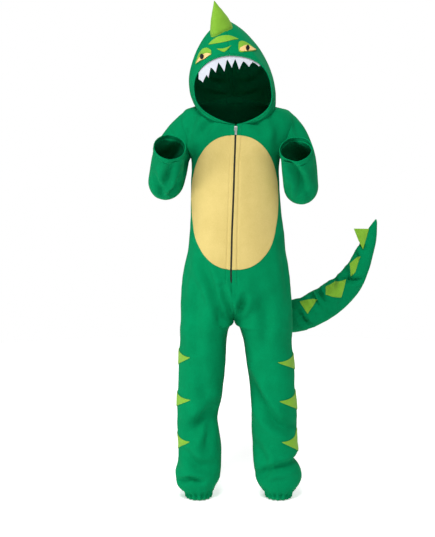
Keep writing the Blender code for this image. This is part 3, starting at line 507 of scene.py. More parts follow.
stitching = {
    "pitch": 3.6,
    "length": 2.6,
    "halfWidth": 0.3,
    "height": 0.32,
    "endSink": 0.1,
    "middleSink": 0.15,
}


def addStitching(name, runs, material):
    points, faces = [], []
    for path, normals in runs:
        lengths = np.concatenate([[0], np.cumsum(np.linalg.norm(np.diff(path, axis=0), axis=1))])
        count = int(lengths[-1] // stitching["pitch"])
        for index in range(count):
            start = (index + 0.5) * lengths[-1] / count
            ends = []
            for where in (start - stitching["length"] / 2, start, start + stitching["length"] / 2):
                ends.append(np.array([np.interp(where, lengths, path[:, axis]) for axis in range(3)]))
            up = unit(np.array([np.interp(start, lengths, normals[:, axis]) for axis in range(3)]))
            side = unit(np.cross(ends[2] - ends[0], up)) * stitching["halfWidth"]
            first = len(points)
            top = up * stitching["height"]
            low, sunk = up * stitching["endSink"], up * stitching["middleSink"]
            points += [ends[0] - low, ends[2] - low]
            points += [ends[1] + side, ends[1] + top, ends[1] - side, ends[1] - sunk]
            for k in range(4):
                here, there = first + 2 + k, first + 2 + (k + 1) % 4
                faces += [(first, here, there), (first + 1, there, here)]
    addPiece(name, meshFrom(name, points, faces), material)


# The suit's own form, from the same sizes as its solids

suit = {
    "cloth": 1.7,
    "seamTrim": 0.16,
    "roundness": 0.87,
    "legRoundness": 0.92,
    "seamDepth": 4.0,
    "bodyQuarter": 165.0,
    "legQuarter": 95.0,
    "shoulder": -8.0,
    "underarm": -115.0,
    "armholeDip": 0.36,
    "neckSteps": 6,
    "neckShare": 6 / 9,
    "neckHeights": (-35, -31, -17, -2, 5, 8, 9, 10, 12, 15, 18, 21, 22),
    "blendTop": -440.0,
    "crotch": -512.0,
    "blendPower": 2.2,
    "ankle": -919.0,
    "topRows": 34,
    "rowStep": 3.6,
    "columns": 44,
    # height, left edge, right edge, front depth, back depth, centre line
    "body": (
        (26, -60, 60, 56, 60, 3),
        (9, -86, 84, 62, 66, 3),
        (0, -112, 122, 68, 72, 3),
        (-8, -121, 134, 73, 77, 3),
        (-20, -128, 141, 78, 82, 3),
        (-36, -134, 145, 83, 87, 3),
        (-60, -133, 142, 89, 91, 2),
        (-90, -119, 126, 94, 93, 1),
        (-115, -103, 109, 96, 94, 0),
        (-180, -103, 109, 98, 92, -2),
        (-235, -104, 112, 98, 90, -4),
        (-287, -105, 118, 98, 91, -6),
        (-335, -110, 123, 97, 96, -7),
        (-384, -120, 133, 95, 104, -8),
        (-432, -127, 137, 91, 110, -6),
        (-480, -129, 141, 87, 106, -2),
        (-512, -129, 141, 84, 100, 0),
    ),
    # height, outer left, inner left, inner right, outer right, front depth, back depth
    "legs": (
        (-440, -127, 0, 0, 138, 90, 108),
        (-512, -129, -1, 1, 141, 84, 100),
        (-516, -129.3, -8, 9, 141, 83.5, 99.5),
        (-521, -129.7, -11, 12, 141, 83, 98.5),
        (-529, -130, -14, 15, 141, 82, 97),
        (-554, -130, -17, 22, 141, 78, 92),
        (-585, -133, -19, 27, 143, 74, 84),
        (-620, -134, -21, 31, 146, 70, 77),
        (-660, -135, -25, 38, 148, 67, 71),
        (-700, -138, -29, 42, 151, 65, 68),
        (-728, -138, -37, 44, 154, 64, 66),
        (-751, -138, -40, 44, 157, 63, 64),
        (-778, -138, -37, 44, 157, 61, 63),
        (-803, -136, -32, 46, 156, 58, 63),
        (-828, -136, -30, 46, 157, 56, 62),
        (-845, -136, -30, 47, 150, 55, 61),
        (-860, -138, -30, 49, 159, 55, 60),
        (-877, -142, -31, 52, 165, 55, 60),
        (-893, -142, -33, 54, 166, 54, 59),
        (-907, -139, -40, 59, 161, 52, 56),
        (-919, -130, -46, 67, 153, 48, 51),
        (-927, -121, -51, 75, 145, 43, 45),
        (-939, -119, -52, 76, 143, 44, 46),
    ),
    # side, turn and height at each end, half width, depth
    "folds": (
        (1, 0.42, -680, 1.05, -795, 20, 6.0),
        (-1, 0.28, -718, 0.95, -800, 18, 5.0),
        (-1, 0.20, -735, 0.55, -738, 16, 4.0),
        (1, 0.85, -842, 1.15, -848, 13, 5.0),
        (-1, 0.55, -891, 1.0, -897, 12, 4.0),
        (1, 0.3, -887, 0.8, -894, 12, 3.5),
        (-1, 0.62, -385, 0.12, -490, 15, 4.5),
        (1, 0.45, -430, 0.14, -492, 14, 3.5),
        (-1, 1.30, -470, 1.85, -505, 16, 5.0),
        (1, 1.30, -468, 1.85, -505, 16, 5.0),
        (-1, 1.20, -735, 1.80, -752, 18, 5.5),
        (1, 1.15, -742, 1.80, -760, 18, 5.5),
        (-1, 1.25, -884, 1.8, -890, 12, 4.0),
        (1, 1.25, -880, 1.8, -888, 12, 4.0),
    ),
    # finer creases drawn in front view: face, path of x and z, half width, depth
    "creases": (
        (-1, ((-76, -359), (-64, -392), (-48, -430), (-34, -465), (-31, -505)), 8, 4.2),
        (-1, ((-30, -414), (-19, -449), (-5, -488)), 6.5, 4.6),
        (-1, ((24, -436), (10, -488)), 6, 3.6),
        (-1, ((-108, -326), (-118, -385), (-125, -444)), 9, 1.8),
        (-1, ((113, -315), (125, -385), (130, -456)), 9, 1.8),
        (-1, ((-52, -25), (-66, -43), (-82, -62)), 7, 2.4),
        (-1, ((31, -20), (52, -34), (72, -50)), 8, 1.8),
        (-1, ((-89, -7), (-103, -39), (-108, -71)), 7, 1.8),
        (-1, ((86, -20), (100, -48), (103, -85)), 8, 2.0),
        (-1, ((-84, -420), (-92, -486), (-88, -560)), 11, 2.6),
        (-1, ((58, -410), (74, -480), (70, -560)), 11, 2.4),
        (-1, ((30, -640), (50, -678), (76, -716), (106, -748), (150, -764)), 10, 5.2),
        (-1, ((-46, -706), (-72, -738), (-104, -768)), 12, 4.8),
        (-1, ((-38, -728), (-58, -764), (-66, -816)), 8, 3.0),
        (-1, ((-128, -893), (-103, -884), (-76, -889)), 5, 3.6),
        (-1, ((-81, -605), (-72, -653), (-69, -694)), 11, 1.3),
        (-1, ((64, -878), (98, -857), (140, -850)), 7, 3.8),
        (-1, ((58, -806), (72, -842), (70, -884)), 9, 2.8),
        (-1, ((-116, -820), (-91, -846), (-58, -854)), 9, 3.0),
        (1, ((-62, -42), (-30, -60), (4, -58)), 10, 1.8),
        (1, ((74, -60), (40, -84), (12, -90)), 9, 1.6),
        (1, ((-95, -150), (-78, -206), (-84, -262)), 10, 1.5),
        (1, ((98, -170), (84, -232), (92, -290)), 10, 1.6),
        (1, ((-96, -300), (-60, -330), (-14, -338)), 9, 2.2),
        (1, ((108, -330), (74, -352), (52, -366)), 8, 2.0),
        (1, ((-118, -420), (-84, -448), (-48, -462)), 9, 2.4),
        (1, ((112, -452), (76, -478), (40, -490)), 9, 2.2),
        (1, ((-112, -560), (-78, -590), (-40, -596)), 10, 2.0),
        (1, ((124, -566), (92, -602), (50, -612)), 10, 2.0),
        (1, ((-122, -700), (-90, -716), (-52, -708)), 9, 2.2),
        (1, ((136, -706), (104, -728), (62, -720)), 9, 2.4),
        (1, ((-96, -778), (-78, -812), (-52, -834)), 9, 1.8),
        (1, ((118, -786), (96, -824), (70, -842)), 9, 1.8),
        (1, ((-120, -872), (-92, -860), (-58, -872)), 6, 2.0),
        (1, ((142, -868), (108, -856), (74, -868)), 6, 2.0),
    ),
    "creaseShare": 1.35,
    "drape": ((2.2, 66, 3.1), (0.5, 24, 9.7)),
    # length over which a seam's distance is counted, on the body and on a leg
    "sideReach": (95, 60),
    "middleReach": (108, 58),
    "sideGroove": 1.1,
    "middleGroove": 1.0,
    "seamWidth": 2.3,
    "pucker": 0.3,
    "puckerWidth": 8,
    "gathers": 17,
    "gatherRise": 30,
    "gatherDepth": 1.5,
}

zip_ = {
    "top": -37.0,
    "end": -403.0,
    "halfGap": 2.1,
    "placket": 11.0,  # stitch line of the placket, out from the middle
    "lip": 0.45,
    "groove": 1.0,
    "roll": 0.5,
    "tapeWidth": 13.0,
    "tapeDepth": 2.7,
    "tapeThick": 0.8,
    "coilDepth": 1.55,
    "tapeFlat": (0.013, 0.366),
    # piece, body and width of the rounded edge, for each node
    "hardware": {
        "zip_slider": ("zipSlider", "suit", 0.45),
        "zip_pull": ("zipPullTab", "pull", 0.3),
    },
    "bevelSteps": 3,
    "toothPitch": 2.0,
    "toothCorners": 6,
    "firstTooth": 12,  # below the zip's top
    # place along a tooth from the middle outwards, and its radius there
    "toothStations": ((-1.75, 0.30), (-1.5, 0.46), (-0.2, 0.46), (0.25, 0.62), (0.55, 0.34)),
}

bodyAt = smoothTable(suit["body"])
legsAt = smoothTable(suit["legs"])
neckHeight = smoothTable([(index / suit["neckSteps"], z) for index, z in enumerate(suit["neckHeights"])])


def legWeight(height):
    span = suit["blendTop"] - suit["crotch"]
    return np.clip((suit["blendTop"] - height) / span, 0, 1) ** suit["blendPower"]


def foldDepth(side, turn, height, quarter):
    depth = np.zeros(turn.shape)
    for foldSide, turnA, heightA, turnB, heightB, halfWidth, most in suit["folds"]:
        if foldSide != side:
            continue
        alongX, alongZ = (turnB - turnA) * quarter, heightB - heightA
        hereX, hereZ = (turn - turnA) * quarter, height - heightA
        share = np.clip((hereX * alongX + hereZ * alongZ) / (alongX**2 + alongZ**2), 0, 1)
        away = np.hypot(hereX - alongX * share, hereZ - alongZ * share)
        depth += most * np.sin(np.pi * (0.12 + 0.76 * share)) * bell(away, halfWidth)
    return depth


# turn is 0 at the front middle or inner leg seam, 1 at the side seam and 2 at the back middle
def formPoint(side, turn, height):
    turn, height = np.broadcast_arrays(np.asarray(turn, float), np.asarray(height, float))
    angle = turn * math.pi / 2
    left, right, front, back, centre = np.moveaxis(bodyAt(height), -1, 0)
    edge = left if side < 0 else right
    seamY = suit["seamDepth"]
    x = centre + (edge - centre) * signedPower(np.sin(angle), suit["roundness"])
    isFront = turn <= 1
    depth = np.where(isFront, front + seamY, back - seamY)
    y = seamY - depth * signedPower(np.cos(angle), suit["roundness"])
    outerL, innerL, innerR, outerR, legFront, legBack = np.moveaxis(legsAt(height), -1, 0)
    outer = outerL if side < 0 else outerR
    inner = innerL if side < 0 else innerR
    inner = side * np.maximum(inner * side, centre * side)
    middle, half = (outer + inner) / 2, (outer - inner) / 2
    legDepth = np.where(isFront, legFront + seamY, legBack - seamY)
    legX = middle - half * signedPower(np.cos(2 * angle), suit["legRoundness"])
    legY = seamY - legDepth * signedPower(np.sin(2 * angle), suit["legRoundness"])
    weight = legWeight(height)
    x = x + (legX - x) * weight
    y = y + (legY - y) * weight
    quarter = suit["bodyQuarter"] + (suit["legQuarter"] - suit["bodyQuarter"]) * weight
    centre = centre + (middle - centre) * weight
    inwardX, inwardY = centre - x, seamY - y
    length = np.hypot(inwardX, inwardY)
    length = np.where(length > 1, length, 1)
    fold = foldDepth(side, turn, height, quarter) / length
    return np.stack([x + inwardX * fold, y + inwardY * fold, height], axis=-1)


def formNormal(side, turn, height):
    turn, height = np.broadcast_arrays(np.asarray(turn, float), np.asarray(height, float))
    step = 0.004
    low, high = np.maximum(turn - step, 0), np.minimum(turn + step, 2)
    across = formPoint(side, high, height) - formPoint(side, low, height)
    down = formPoint(side, turn, height - 1.5) - formPoint(side, turn, height + 1.5)
    return unit(np.cross(down, across) * side)


# Distance from a seam line for a small step in turn, where the rings start square to it
def seamDistance(turns, bodyReach, legReach, weight):
    onBody = bodyReach * (turns * math.pi / 2) ** suit["roundness"]
    onLeg = legReach * (turns * math.pi) ** suit["legRoundness"]
    return onBody + (onLeg - onBody) * weight


def gatherWave(turn):
    drift = 0.55 * np.sin(2 * math.pi * turn + 0.8) + 0.4 * np.sin(5 * math.pi * turn)
    return np.cos(math.pi * suit["gathers"] * turn + drift)


# Creases, loose cloth, seams, placket and ankle gathers, as a rise along the normal
def suitRelief(side, turn, height, points, normals):
    weight = legWeight(height)
    relief = suit["creaseShare"] * creaseRelief(points, normals, suit["creases"])
    relief += drape(points, suit["drape"], side)
    toSide = seamDistance(np.abs(turn - 1), *suit["sideReach"], weight)
    toMiddle = seamDistance(np.minimum(turn, np.abs(2 - turn)), *suit["middleReach"], weight)
    width, puckerWidth = suit["seamWidth"], suit["puckerWidth"]
    pucker = suit["pucker"] * (0.5 + 0.5 * np.sin(height / 5.1 + 2 * np.sin(height / 23)))
    relief -= suit["sideGroove"] * bell(toSide, width) + pucker * bell(toSide, puckerWidth)
    zipped = (turn < 1) * np.clip((height - zip_["end"] + 10) / 8, 0, 1)
    seam = suit["middleGroove"] * bell(toMiddle, width) + pucker * bell(toMiddle, puckerWidth)
    relief -= (1 - zipped) * seam
    lip = zip_["lip"] * np.clip((zip_["placket"] - toMiddle) / 2.5, 0, 1)
    groove = zip_["groove"] * bell(toMiddle - zip_["placket"], 1.5)
    roll = zip_["roll"] * bell(toMiddle, 2.0)
    relief += zipped * (lip - groove - roll)
    rise = np.clip((height - suit["ankle"]) / suit["gatherRise"], 0, 1)
    relief -= suit["gatherDepth"] * (1 - rise) ** 1.6 * (0.5 - 0.5 * gatherWave(turn)) * (weight > 0.99)
    return relief


# A place on the dressed suit, moved out by a distance, with its normal
def suitSurface(side, turn, height, out=0.0):
    turn, height = np.broadcast_arrays(np.asarray(turn, float), np.asarray(height, float))
    points = formPoint(side, turn, height)
    normals = formNormal(side, turn, height)
    rise = suitRelief(side, turn, height, points, normals) + out
    return points + normals * rise[..., None], normals


def armholeTurn(height):
    share = np.clip((suit["shoulder"] - height) / (suit["shoulder"] - suit["underarm"]), 0, 1)
    return 1 - suit["armholeDip"] * np.sin(math.pi * share) ** 0.75


# Turn and height in a panel's top region, between neckline, armhole and underarm level
def topPlaces(along, down, isFront):
    middle = 0.0 if isFront else 2.0

    def mirrored(turn):
        return turn if isFront else 2 - turn

    def place(turn, height):
        return np.stack(np.broadcast_arrays(turn, height), axis=-1).astype(float)

    shoulder, underarm = suit["shoulder"], suit["underarm"]
    neckMiddle = float(neckHeight(middle)[..., 0])
    onNeck = along < suit["neckShare"]
    neckTurn = mirrored(np.minimum(along / suit["neckShare"], 1))
    seamShare = np.clip((along - suit["neckShare"]) / (1 - suit["neckShare"]), 0, 1)
    seamStart = float(neckHeight(1.0)[..., 0])
    topHeight = np.where(onNeck, neckHeight(neckTurn)[..., 0], seamStart + (shoulder - seamStart) * seamShare)
    top = place(np.where(onNeck, neckTurn, 1.0), topHeight)
    bottom = place(mirrored(along), underarm)
    left = place(middle, neckMiddle + (underarm - neckMiddle) * down)
    armHeight = shoulder + (underarm - shoulder) * down
    right = place(mirrored(armholeTurn(armHeight)), armHeight)
    a, d = along[..., None], down[..., None]
    corners = (
        place(middle, neckMiddle) * (1 - a) * (1 - d)
        + place(1.0, shoulder) * a * (1 - d)
        + place(middle, underarm) * (1 - a) * d
        + place(1.0, underarm) * a * d
    )
    both = top * (1 - d) + bottom * d + left * (1 - a) + right * a - corners
    return both[..., 0], both[..., 1]


def trimEdges(grid, atStart, atEnd):
    grid = grid.copy()
    startWay, endWay = unit(grid[:, 1] - grid[:, 0]), unit(grid[:, -2] - grid[:, -1])
    grid[:, 0] += startWay * atStart
    grid[:, -1] += endWay * atEnd
    return grid


# Columns crowd together at the seams and the placket, where the cloth's form is finest
def panelColumns():
    offs = np.concatenate([[0.0, 0.5], np.arange(1.3, 18, 1.3)])
    nearMiddle = np.arcsin((offs / suit["middleReach"][0]) ** (1 / suit["roundness"])) * 2 / math.pi
    rest = np.linspace(nearMiddle[-1], 0.965, suit["columns"])[1:]
    return np.concatenate([nearMiddle, rest, [0.975, 0.984, 0.992, 1.0]])


def panelGrid(side, isFront):
    along = panelColumns()
    down = (1 - np.cos(math.pi * np.linspace(0, 1, suit["topRows"])[:-1])) / 2
    turnTop, heightTop = topPlaces(*np.meshgrid(along, down), isFront)
    rows = int((suit["underarm"] - suit["ankle"]) / suit["rowStep"])
    heights = np.linspace(suit["underarm"], suit["ankle"], rows)
    turnLow, heightLow = np.meshgrid(along if isFront else 2 - along, heights)
    turn, height = np.concatenate([turnTop, turnLow]), np.concatenate([heightTop, heightLow])
    outer, normals = suitSurface(side, turn, height)
    inner = outer - normals * suit["cloth"]
    gap = np.full(len(outer), suit["seamTrim"])
    if isFront:
        opening = np.clip((outer[:, 0, 2] - zip_["end"] + 1) / 4, 0, 1)
        gap += (zip_["halfGap"] - suit["seamTrim"]) * opening
    trim = suit["seamTrim"]
    for grid in (outer, inner):
        grid[:] = trimEdges(slideEdge(grid, gap), 0, trim)
        grid[:] = np.swapaxes(trimEdges(np.swapaxes(grid, 0, 1), trim, trim), 0, 1)
    return outer, inner


# Moves the points near the middle edge along the row, so that the edge stands off by its gap
def slideEdge(grid, gap):
    lengths = np.cumsum(np.linalg.norm(np.diff(grid, axis=1), axis=2), axis=1)
    lengths = np.concatenate([np.zeros((len(grid), 1)), lengths], axis=1)
    moved = grid.copy()
    for row in range(len(grid)):
        fade = np.clip(1 - lengths[row] / 16, 0, 1)
        wanted = lengths[row] + gap[row] * fade
        for axis in range(3):
            moved[row, :, axis] = np.interp(wanted, lengths[row], grid[row, :, axis])
    return moved


def addPanels():
    for side, sideWord in sides:
        for isFront, faceWord in ((True, "front"), (False, "back")):
            outer, inner = panelGrid(side, isFront)
            name = f"{faceWord}{sideWord}"
            node = f"{faceWord}_{sideWord.lower()}"
            panels[name] = (addShell(name + "Panel", outer, inner, "green", [node]), outer)


# Seam allowances: narrow turned edges on the inside, behind each seam
allowance = {"drop": 0.4, "thick": 0.7, "turns": (0.0, 0.014, 0.03, 0.05)}


def addAllowance(name, near, far, closed=False):
    points, normals = (np.concatenate([b[:, :0:-1], (a[:, :1] + b[:, :1]) / 2, a[:, 1:]], axis=1)
                       for a, b in zip(near, far))
    normals = unit(normals)
    top = points - normals * (suit["cloth"] + allowance["drop"])
    bottom = top - normals * allowance["thick"]
    if closed:
        top, bottom = (np.concatenate([grid, grid[:1]]) for grid in (top, bottom))
    return addShell(name, top, bottom, "green")


def addPanelAllowances():
    turns = np.array(allowance["turns"])[None, :]
    made = {"Left": [], "Right": []}
    for side, word in sides:
        for part, top, bottom, count in (("shoulder", 8, -7, 8), ("side", -117, -916, 200)):
            heights = np.linspace(top, bottom, count)[:, None]
            near, far = (suitSurface(side, 1 + way * turns, heights) for way in (-1, 1))
            made[word].append(addAllowance(f"{part}Allowance{word}", near, far))
        heights = np.linspace(-518, -916, 110)[:, None]
        near, far = suitSurface(side, turns, heights), suitSurface(side, 2 - turns, heights)
        made[word].append(addAllowance("legAllowance" + word, near, far))
    for part, start, top, bottom in (("back", 2, 21.9, -506), ("crotch", 0, -405, -506)):
        heights = np.linspace(top, bottom, int(top - bottom) // 4)[:, None]
        near, far = (suitSurface(side, abs(start - turns), heights) for side in (1, -1))
        made["Left"].append(addAllowance(part + "Allowance", near, far))
    return made


print("panels")
panels = {}
addPanels()
addPanelAllowances()


# Belly oval, in two halves beside the zip

belly = {
    "centre": (1, -216),
    "half": (101, 156),
    "power": 2.4,
    "gap": 0.5,
    "thick": 1.1,
    "flat": (0.125, 0.312),
    "area": 0.0300,
    "stitchInset": 2.6,
    "placket": (-64, -368),
    "rows": 92,
    "rowReach": 0.9995,  # short of the tips, where the rows would have no width
    "edgeRound": 0.6,
}


# Turn at which the front lies this far sideways from its middle line
def turnAt(side, off, height):
    left, right, _, _, centre = np.moveaxis(bodyAt(height), -1, 0)
    half = np.abs((left if side < 0 else right) - centre)
    return np.arcsin(np.clip(off / half, 0, 1) ** (1 / suit["roundness"])) * 2 / math.pi


def bellyReach(side, height, inset=0.0):
    centreX, centreZ = belly["centre"]
    halfX, halfZ = belly["half"][0] - inset, belly["half"][1] - inset
    share = np.clip(np.abs(height - centreZ) / halfZ, 0, 1)
    reach = halfX * (1 - share ** belly["power"]) ** (1 / belly["power"])
    centre = bodyAt(height)[..., 4]
    return np.maximum(side * (centreX - centre) + reach, zip_["halfGap"] + 0.8)


# The placket's stitch line between two heights
def placketLine(side, top, bottom, count, out=0.0):
    heights = np.linspace(top, bottom, count)
    turns = turnAt(side, np.full(count, zip_["placket"]), heights)
    return suitSurface(side, turns, heights, out)


def addBelly():
    runs = []
    for side, word in sides:
        steps = np.linspace(0, math.pi, belly["rows"])
        heights = belly["centre"][1] + belly["half"][1] * belly["rowReach"] * np.cos(steps)
        start = zip_["halfGap"] + 0.1
        shares = np.concatenate([np.linspace(0, 0.2, 13)[:-1], np.linspace(0.2, 0.97, 30), [0.985, 1.0]])
        reach = bellyReach(side, heights)
        offs = start + (reach[:, None] - start) * shares[None, :]
        turns = turnAt(side, offs, heights[:, None])
        points, normals = suitSurface(side, turns, heights[:, None])
        edge = np.minimum(np.minimum(reach[:, None] - offs, 6), 40 * np.sin(steps)[:, None])
        rounding = belly["edgeRound"] * np.exp(-np.maximum(edge, 0) / 0.9)
        outer = points + normals * (belly["gap"] + belly["thick"] - rounding)[..., None]
        inner = points + normals * belly["gap"]
        piece = addShell("bellyHalf" + word, outer, inner, "sand", [f"belly_{word.lower()}"])
        inset = belly["stitchInset"]
        steps = np.linspace(0.12, math.pi - 0.12, 160)
        heights = belly["centre"][1] + (belly["half"][1] - inset) * np.cos(steps)
        turns = turnAt(side, bellyReach(side, heights, inset), heights)
        runs.append(suitSurface(side, turns, heights, belly["gap"] + belly["thick"]))
        runs.append(placketLine(side, *belly["placket"], 150, belly["gap"] + belly["thick"]))
    addStitching("bellyStitching", runs, "sandThread")


print("belly")
addBelly()


# Zip: woven tapes, moulded teeth, slider and pull tab

def frontStrip(side, offs, heights, out):
    turns = turnAt(side, offs[None, :], heights[:, None])
    points = formPoint(side, turns, heights[:, None])
    return points + np.array([0, -out, 0])


def addZipTapes():
    heights = np.linspace(zip_["top"] - 3, zip_["end"] - 3, 120)
    offs = np.linspace(0.2, zip_["tapeWidth"], 8)
    depths = zip_["tapeDepth"], zip_["tapeDepth"] + zip_["tapeThick"]
    for side, word in sides:
        outer, inner = (frontStrip(side, offs, heights, -depth) for depth in depths)
        lower, rests = word.lower(), panels["front" + word][0]
        piece = addShell("zipTape_" + lower, outer, inner, "tape", ["zip_tape_" + lower])


# One tooth of the coil: a short bar with a rounded head that hooks past the middle
def addZipTeeth():
    points, faces = [], []
    corners, stations = zip_["toothCorners"], zip_["toothStations"]
    top = zip_["top"] - zip_["firstTooth"]
    count = int((top - zip_["end"]) / zip_["toothPitch"])
    for index in range(2 * count):
        side = -1 if index % 2 else 1
        height = top - index * zip_["toothPitch"] / 2
        centre = formPoint(1, 0.0, height) + np.array([0, zip_["coilDepth"], 0])
        first = len(points)
        for off, radius in stations:
            for k in range(corners):
                angle = 2 * math.pi * k / corners
                bulge = np.array([-side * off, radius * math.cos(angle), radius * math.sin(angle)])
                points.append(centre + bulge)
        for row in range(len(stations) - 1):
            for k in range(corners):
                a, b = first + row * corners + k, first + row * corners + (k + 1) % corners
                faces.append((a, b, b + corners, a + corners))
        faces.append(tuple(first + k for k in range(corners)))
        faces.append(tuple(first + (len(stations) - 1) * corners + k for k in range(corners)))
    addPiece("zipTeeth", meshFrom("zipTeeth", points, faces), "coil", ["zip_coil"])


# The slider and pull keep the shape of their solids, with rounded edges
def addHardware():
    for node, (name, body, width) in zip_["hardware"].items():
        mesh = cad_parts[node].data.copy()
        mesh.name = name
        shape = bmesh.new()
        shape.from_mesh(mesh)
        bmesh.ops.remove_doubles(shape, verts=shape.verts, dist=0.00001)
        bmesh.ops.dissolve_limit(shape, angle_limit=0.02, verts=shape.verts, edges=shape.edges)
        shape.to_mesh(mesh)
        shape.free()
        piece = addPiece(name, mesh, "metal", [node], body)
        bevel = piece.modifiers.new("roundedEdges", "BEVEL")
        bevel.width = width * mm
        bevel.segments = zip_["bevelSteps"]
        mesh.shade_smooth()


def addPlacketStitches():
    runs = []
    for side in (-1, 1):
        for top, bottom in ((-38, -60), (-372, zip_["end"] - 2)):
            runs.append(placketLine(side, top, bottom, 40))
    addStitching("placketStitching", runs, "greenThread")


print("zip")
addZipTapes()
addZipTeeth()
addHardware()
addPlacketStitches()


# Sleeves

sleeves = {
    "columns": 88,
    "drape": ((1.0, 42, 5.3), (0.3, 16, 2.1)),
    "clearance": 4.0,
    "capRows": 30,
    "bendRows": 44,
    "foreFlare": 2.5,
    "hem": 14.0,
    "hemRise": 0.9,
    "hemGroove": 0.8,
    "hemRoll": 0.5,
    "stitchRow": -11,
    # folds bunched inside the elbow: height, rows from wave to wave over 2 pi, middle row, half width in rows
    "bunching": (1.9, 2.7, 46, 15.0),
    "cloth": 1.7,
    -1: {
        "bendStart": (-153, -3, -127),
        "radius": 44.0,
        "cuffRadius": 36.0,
        "upper": (-0.16, -0.03, -0.98),
        "fore": (0.10, -0.74, 0.66),
        "length": 108.0,
        "flat": (0.318, 0.365),
        "area": 0.0720,
    },
    1: {
        "bendStart": (156, -3, -139),
        "radius": 41.0,
        "cuffRadius": 37.0,
        "upper": (0.10, -0.03, -0.99),
        "fore": (-0.13, -0.72, 0.68),
        "length": 118.0,
        "flat": (0.320, 0.380),
        "area": 0.0750,
    },
    "creases": (
        (-1, ((-132, -118), (-151, -148), (-165, -196)), 7, 5.0),
        (-1, ((-113, -132), (-125, -169), (-148, -210)), 7, 4.4),
        (-1, ((-186, -150), (-176, -180), (-166, -212)), 6, 4.2),
        (-1, ((-155, -44), (-146, -67), (-132, -85)), 6, 2.0),
        (-1, ((-122, -150), (-134, -182), (-158, -206)), 6, 4.2),
        (-1, ((108, -106), (124, -129), (140, -172)), 7, 5.0),
        (-1, ((140, -134), (150, -172), (146, -210)), 7, 4.6),
        (-1, ((120, -120), (152, -158), (168, -198)), 7, 4.4),
        (-1, ((125, -169), (121, -193), (130, -214)), 6, 1.8),
        (-1, ((134, -21), (146, -44), (157, -62)), 7, 2.0),
        (1, ((-128, -40), (-148, -72), (-172, -92)), 8, 2.4),
        (1, ((-120, -104), (-146, -118), (-180, -122)), 7, 2.6),
        (1, ((-128, -140), (-152, -150), (-184, -146)), 6, 2.2),
        (1, ((-136, -176), (-158, -184), (-178, -172)), 7, 1.8),
        (1, ((132, -44), (150, -70), (176, -96)), 8, 2.4),
        (1, ((122, -112), (148, -128), (184, -132)), 7, 2.6),
        (1, ((126, -152), (152, -164), (186, -160)), 6, 2.2),
        (1, ((134, -186), (156, -196), (180, -188)), 7, 1.8),
    ),
}


def armholeCurve(side, shares):
    down = (1 - np.cos(2 * math.pi * shares)) / 2
    height = suit["shoulder"] + (suit["underarm"] - suit["shoulder"]) * down
    turn = armholeTurn(height)
    turn = np.where(shares > 0.5, 2 - turn, turn)
    return suitSurface(side, turn, height)


# The armhole's points, the panels' normals there, and the way on into the hole
def armholeFrame(side):
    hole, normals = armholeCurve(side, np.arange(sleeves["columns"]) / sleeves["columns"])
    way = unit(np.cross(np.roll(hole, -1, axis=0) - np.roll(hole, 1, axis=0), normals))
    way *= np.sign(((hole.mean(axis=0) - hole) * way).sum(axis=1))[:, None]
    return hole, normals, way


def sleeveGrid(side):
    arm = sleeves[side]
    upper, fore = unit(np.array(arm["upper"])), unit(np.array(arm["fore"]))
    forward = unit(fore - upper * (fore @ upper))
    out = unit(np.cross(upper, forward))
    if out[0] * side < 0:
        out = -out
    start = np.array(arm["bendStart"], float)
    radius = arm["radius"]
    reach = radius + sleeves["clearance"]
    pivot = start + forward * reach
    angles = ringAngles(sleeves["columns"])
    acrossShare, depthShare = np.cos(angles)[:, None], np.sin(angles)[:, None]

    def ringAt(centre, spoke, size):
        return centre + (out * acrossShare - spoke * depthShare) * size

    hole, panelNormal, way = armholeFrame(side)
    lift = unit(way + panelNormal) * 2 * suit["seamTrim"]
    target = ringAt(start, -forward, radius)
    span = np.linalg.norm(target - hole, axis=1)[:, None]
    leaving = np.array([side * 0.8, 0, -0.6])
    rings = []
    for share in np.linspace(0, 1, sleeves["capRows"]) ** 1.2:
        ring = hermite(hole, target, leaving * span, upper * span * 0.9, share)
        rings.append(ring + lift * max(1 - share / 0.14, 0))
    bendAngle = math.acos(float(upper @ fore))
    sizeStart = arm["cuffRadius"] + sleeves["foreFlare"]
    for share in np.linspace(0, 1, sleeves["bendRows"])[1:]:
        spoke = -forward * math.cos(bendAngle * share) + upper * math.sin(bendAngle * share)
        size = radius + (sizeStart - radius) * share**2
        centre = pivot + spoke * reach - spoke * (radius - size)
        rings.append(ringAt(centre, spoke, size))
    length = arm["length"]
    stops = np.concatenate([np.linspace(0, length - 16, 30)[1:], np.linspace(length - 15, length, 13)])
    for stop in stops:
        size = sizeStart + (arm["cuffRadius"] - sizeStart) * stop / length
        size += sleeves["hemRise"] * np.clip((stop - length + sleeves["hem"]) / 1.5, 0, 1)
        size -= sleeves["hemGroove"] * bell(stop - length + sleeves["hem"] + 0.3, 1.2)
        size -= sleeves["hemRoll"] * np.clip((stop - length + 1.3) / 1.3, 0, 1) ** 2
        rings.append(ringAt(centre + fore * stop, spoke, size))
    rings = np.array(rings)
    normals = ringNormals(rings)
    relief = creaseRelief(rings, normals, sleeves["creases"]) + drape(rings, sleeves["drape"], side)
    rows = len(rings)
    held = np.clip(np.arange(rows) / 4, 0, 1) * np.clip((rows - 1 - np.arange(rows)) / 14, 0.25, 1)
    inElbow = np.clip((normals @ forward) * 1.6 - 0.35, 0, 1)
    height, wave, middleRow, halfRows = sleeves["bunching"]
    bendRows = bell(np.arange(rows) - middleRow, halfRows)[:, None]
    bunching = np.sin(np.arange(rows) / wave)[:, None] * height * inElbow * bendRows
    outer = rings + normals * ((relief + bunching) * held[:, None])[..., None]
    towardHole = np.maximum((normals[0] * way).sum(axis=1), 0)[:, None]
    inward = normals.copy()
    inward[0] = unit(normals[0] - way * towardHole)
    return outer, outer - inward * sleeves["cloth"]


